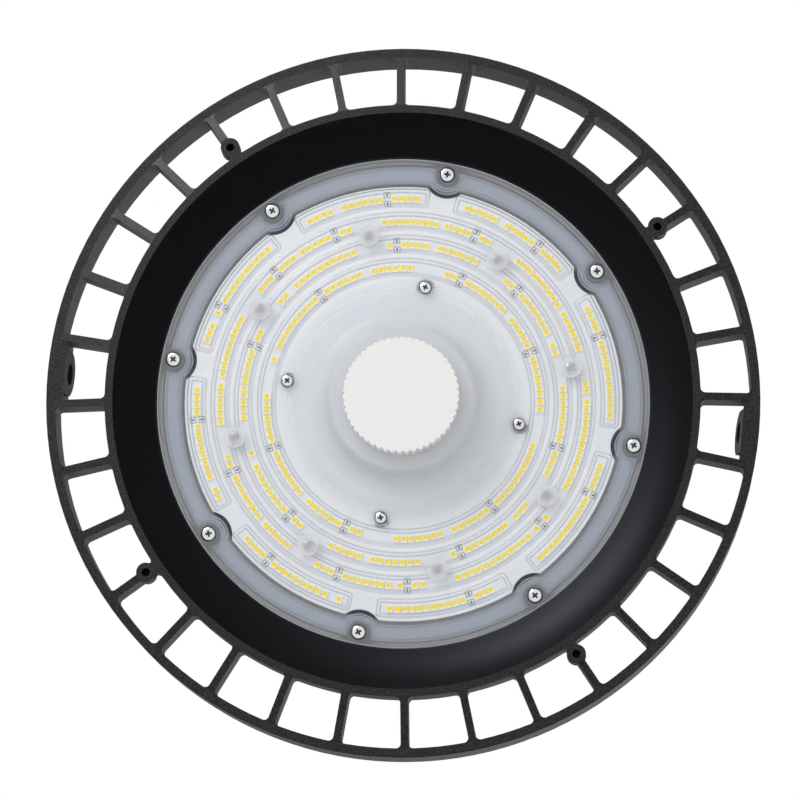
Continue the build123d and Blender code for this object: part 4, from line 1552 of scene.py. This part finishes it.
@dataclass
class Studio:
    """Pale floor far below the hanging light, white surroundings and soft lamps.

    The light of the surroundings is strongest from the side that is up in the photograph.
    """

    floor_level: float = -5.0
    floor_half: float = 12.0
    floor_colour: str = "F0F0F0"
    floor_roughness: float = 0.7
    floor_lift: float = 0.25
    ambient_top: float = 1.15
    ambient_foot: float = 0.55
    lamps: tuple[SoftLamp, ...] = (
        SoftLamp("key_lamp", (-1.5, -1.5, -1.7), 1.5, 18.0),
        SoftLamp("top_lamp", (1.6, 1.2, 2.2), 2.0, 18.0),
        SoftLamp("sheen_lamp", (-0.43, -0.54, -0.5), 0.4, 17.0, sheen_only=True),
    )
    camera_place: Point = (0.12380, 0.33740, -2.68447)
    camera_aim: Point = (-0.00114, -0.00006, 0.005)
    image_up: Point = (-0.08730, -0.98792, -0.12802)
    lens_mm: float = 272.8
    camera_reach: float = 50.0

    def build(self) -> None:
        """Make the floor, the world, the lamps and the camera."""
        self.make_floor()
        self.make_world()
        for lamp in self.lamps:
            lamp.hang()
        self.make_camera()

    def make_floor(self) -> None:
        """Lay the floor, which is out of the photograph's view."""
        bpy.ops.object.select_all(action="DESELECT")
        bpy.ops.mesh.primitive_plane_add(
            size=2 * self.floor_half, location=(0, 0, self.floor_level)
        )
        floor = bpy.context.object
        floor.name = "floor"
        nodes = Nodes("pale_floor")
        lift = nodes.add("MapRange", {"Value": nodes.backdrop(), "To Max": self.floor_lift})
        shader = nodes.add(
            "BsdfPrincipled",
            {
                "Base Color": linear(self.floor_colour),
                "Roughness": self.floor_roughness,
                "Emission Color": linear("FFFFFF"),
                "Emission Strength": lift,
            },
        )
        dress(floor, nodes.finish(shader))

    def make_world(self) -> None:
        """Make the world white where it is seen, mirrored or seen through, and softer as light."""
        world = bpy.data.worlds.new("surroundings")
        bpy.context.scene.world = world
        nodes = Nodes("surroundings", world)
        direction = nodes.add("SeparateXYZ", {"Vector": nodes.direction})
        light = nodes.add(
            "MapRange",
            {
                "Value": direction.outputs["Y"],
                "From Min": -1.0,
                "To Min": self.ambient_top,
                "To Max": self.ambient_foot,
            },
        )
        strength = nodes.add("Mix", {"Factor": nodes.backdrop(), 2: light, 3: 1.0})
        nodes.finish(
            nodes.add("Background", {"Color": linear("FFFFFF"), "Strength": strength})
        )

    def make_camera(self) -> None:
        """Set the camera below the light, at the photograph's angle, from the front ring."""
        data = bpy.data.cameras.new("camera")
        data.lens = self.lens_mm
        data.clip_end = self.camera_reach
        camera = bpy.data.objects.new("camera", data)
        rim_level = Vector((0, 0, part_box("heat_sink")[0].z))
        back = (Vector(self.camera_place) - Vector(self.camera_aim)).normalized()
        right = Vector(self.image_up).cross(back).normalized()
        up = back.cross(right)
        turn = Matrix((right, up, back)).transposed().to_4x4()
        place = Vector(self.camera_place) + rim_level
        camera.matrix_world = Matrix.Translation(place) @ turn
        bpy.context.scene.collection.objects.link(camera)
        bpy.context.scene.camera = camera


NODE_FINISH = {
    "black_powder_coat": ("heat_sink", "driver_housing"),
    "clear_polycarbonate": ("lens",),
    "white_solder_mask": ("led_board",),
    "grey_silicone": ("lens_gasket", "cap_seal"),
    "phosphor_silicone": ("led_packages",),
    "white_abs": (
        "sensor_cap",
        "sensor_socket",
        "socket_ring_nut",
        "board_connector",
        "terminal_block",
    ),
    "black_nylon": (
        "gland_body",
        "gland_nut",
        "gland_locknut",
        "breather_vent",
        "vent_nut",
    ),
    "black_rubber": (
        "housing_gasket",
        "eye_washer",
        "gland_washer",
        "gland_seal",
        "wire_grommet",
    ),
    "chip_ceramic": ("board_resistors",),
    "red_insulation": ("led_wires", "sensor_wires"),
    "nickel_plated_steel": (
        "lens_screws",
        "inner_lens_screws",
        "board_screws",
        "socket_contacts",
    ),
    "zinc_plated_steel": (
        "hanging_eye",
        "eye_nut",
        "housing_screws",
        "driver_screws",
        "earth_screw",
        "earth_washer",
        "terminal_screws",
        "led_driver",
    ),
}

SCREW_SETS = (
    CrossScrews(
        node="lens_screws",
        name="lens_cross_screws",
        finish="nickel_plated_steel",
        slot="bright_screw",
        radius=1.75 * MM,
        head_radius=3.35 * MM,
    ),
    CrossScrews(
        node="inner_lens_screws",
        name="inner_cross_screws",
        finish="nickel_plated_steel",
        slot="bright_screw",
    ),
    CrossScrews(
        node="board_screws",
        name="board_cross_screws",
        finish="nickel_plated_steel",
        slot="bright_screw",
    ),
    CrossScrews(
        node="housing_screws",
        name="housing_cross_screws",
        finish="zinc_plated_steel",
        slot="zinc_steel",
        radius=2.0 * MM,
        head_radius=3.8 * MM,
        head_height=2.8 * MM,
        head_up=True,
    ),
)


def main() -> None:
    """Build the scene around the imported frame."""
    logging.basicConfig(level=logging.INFO, format="%(message)s")
    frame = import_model()
    bpy.context.scene.view_settings.view_transform = "Standard"
    finishes = Finishes()
    finishes.make()
    nodes = frame["nodes"]
    for finish, names in NODE_FINISH.items():
        for name in names:
            dress(nodes[name], finishes[finish])
            log.info("node %s wears %s", name, finish)
    sub_assemblies = (
        LedPackages(),
        BoardResistors(),
        LensGasket(),
        *SCREW_SETS,
        KnurledCap(),
        LensPads(),
    )
    for sub_assembly in sub_assemblies:
        sub_assembly.build(nodes, finishes)
    Studio().build()


if __name__ == "__main__":
    main()
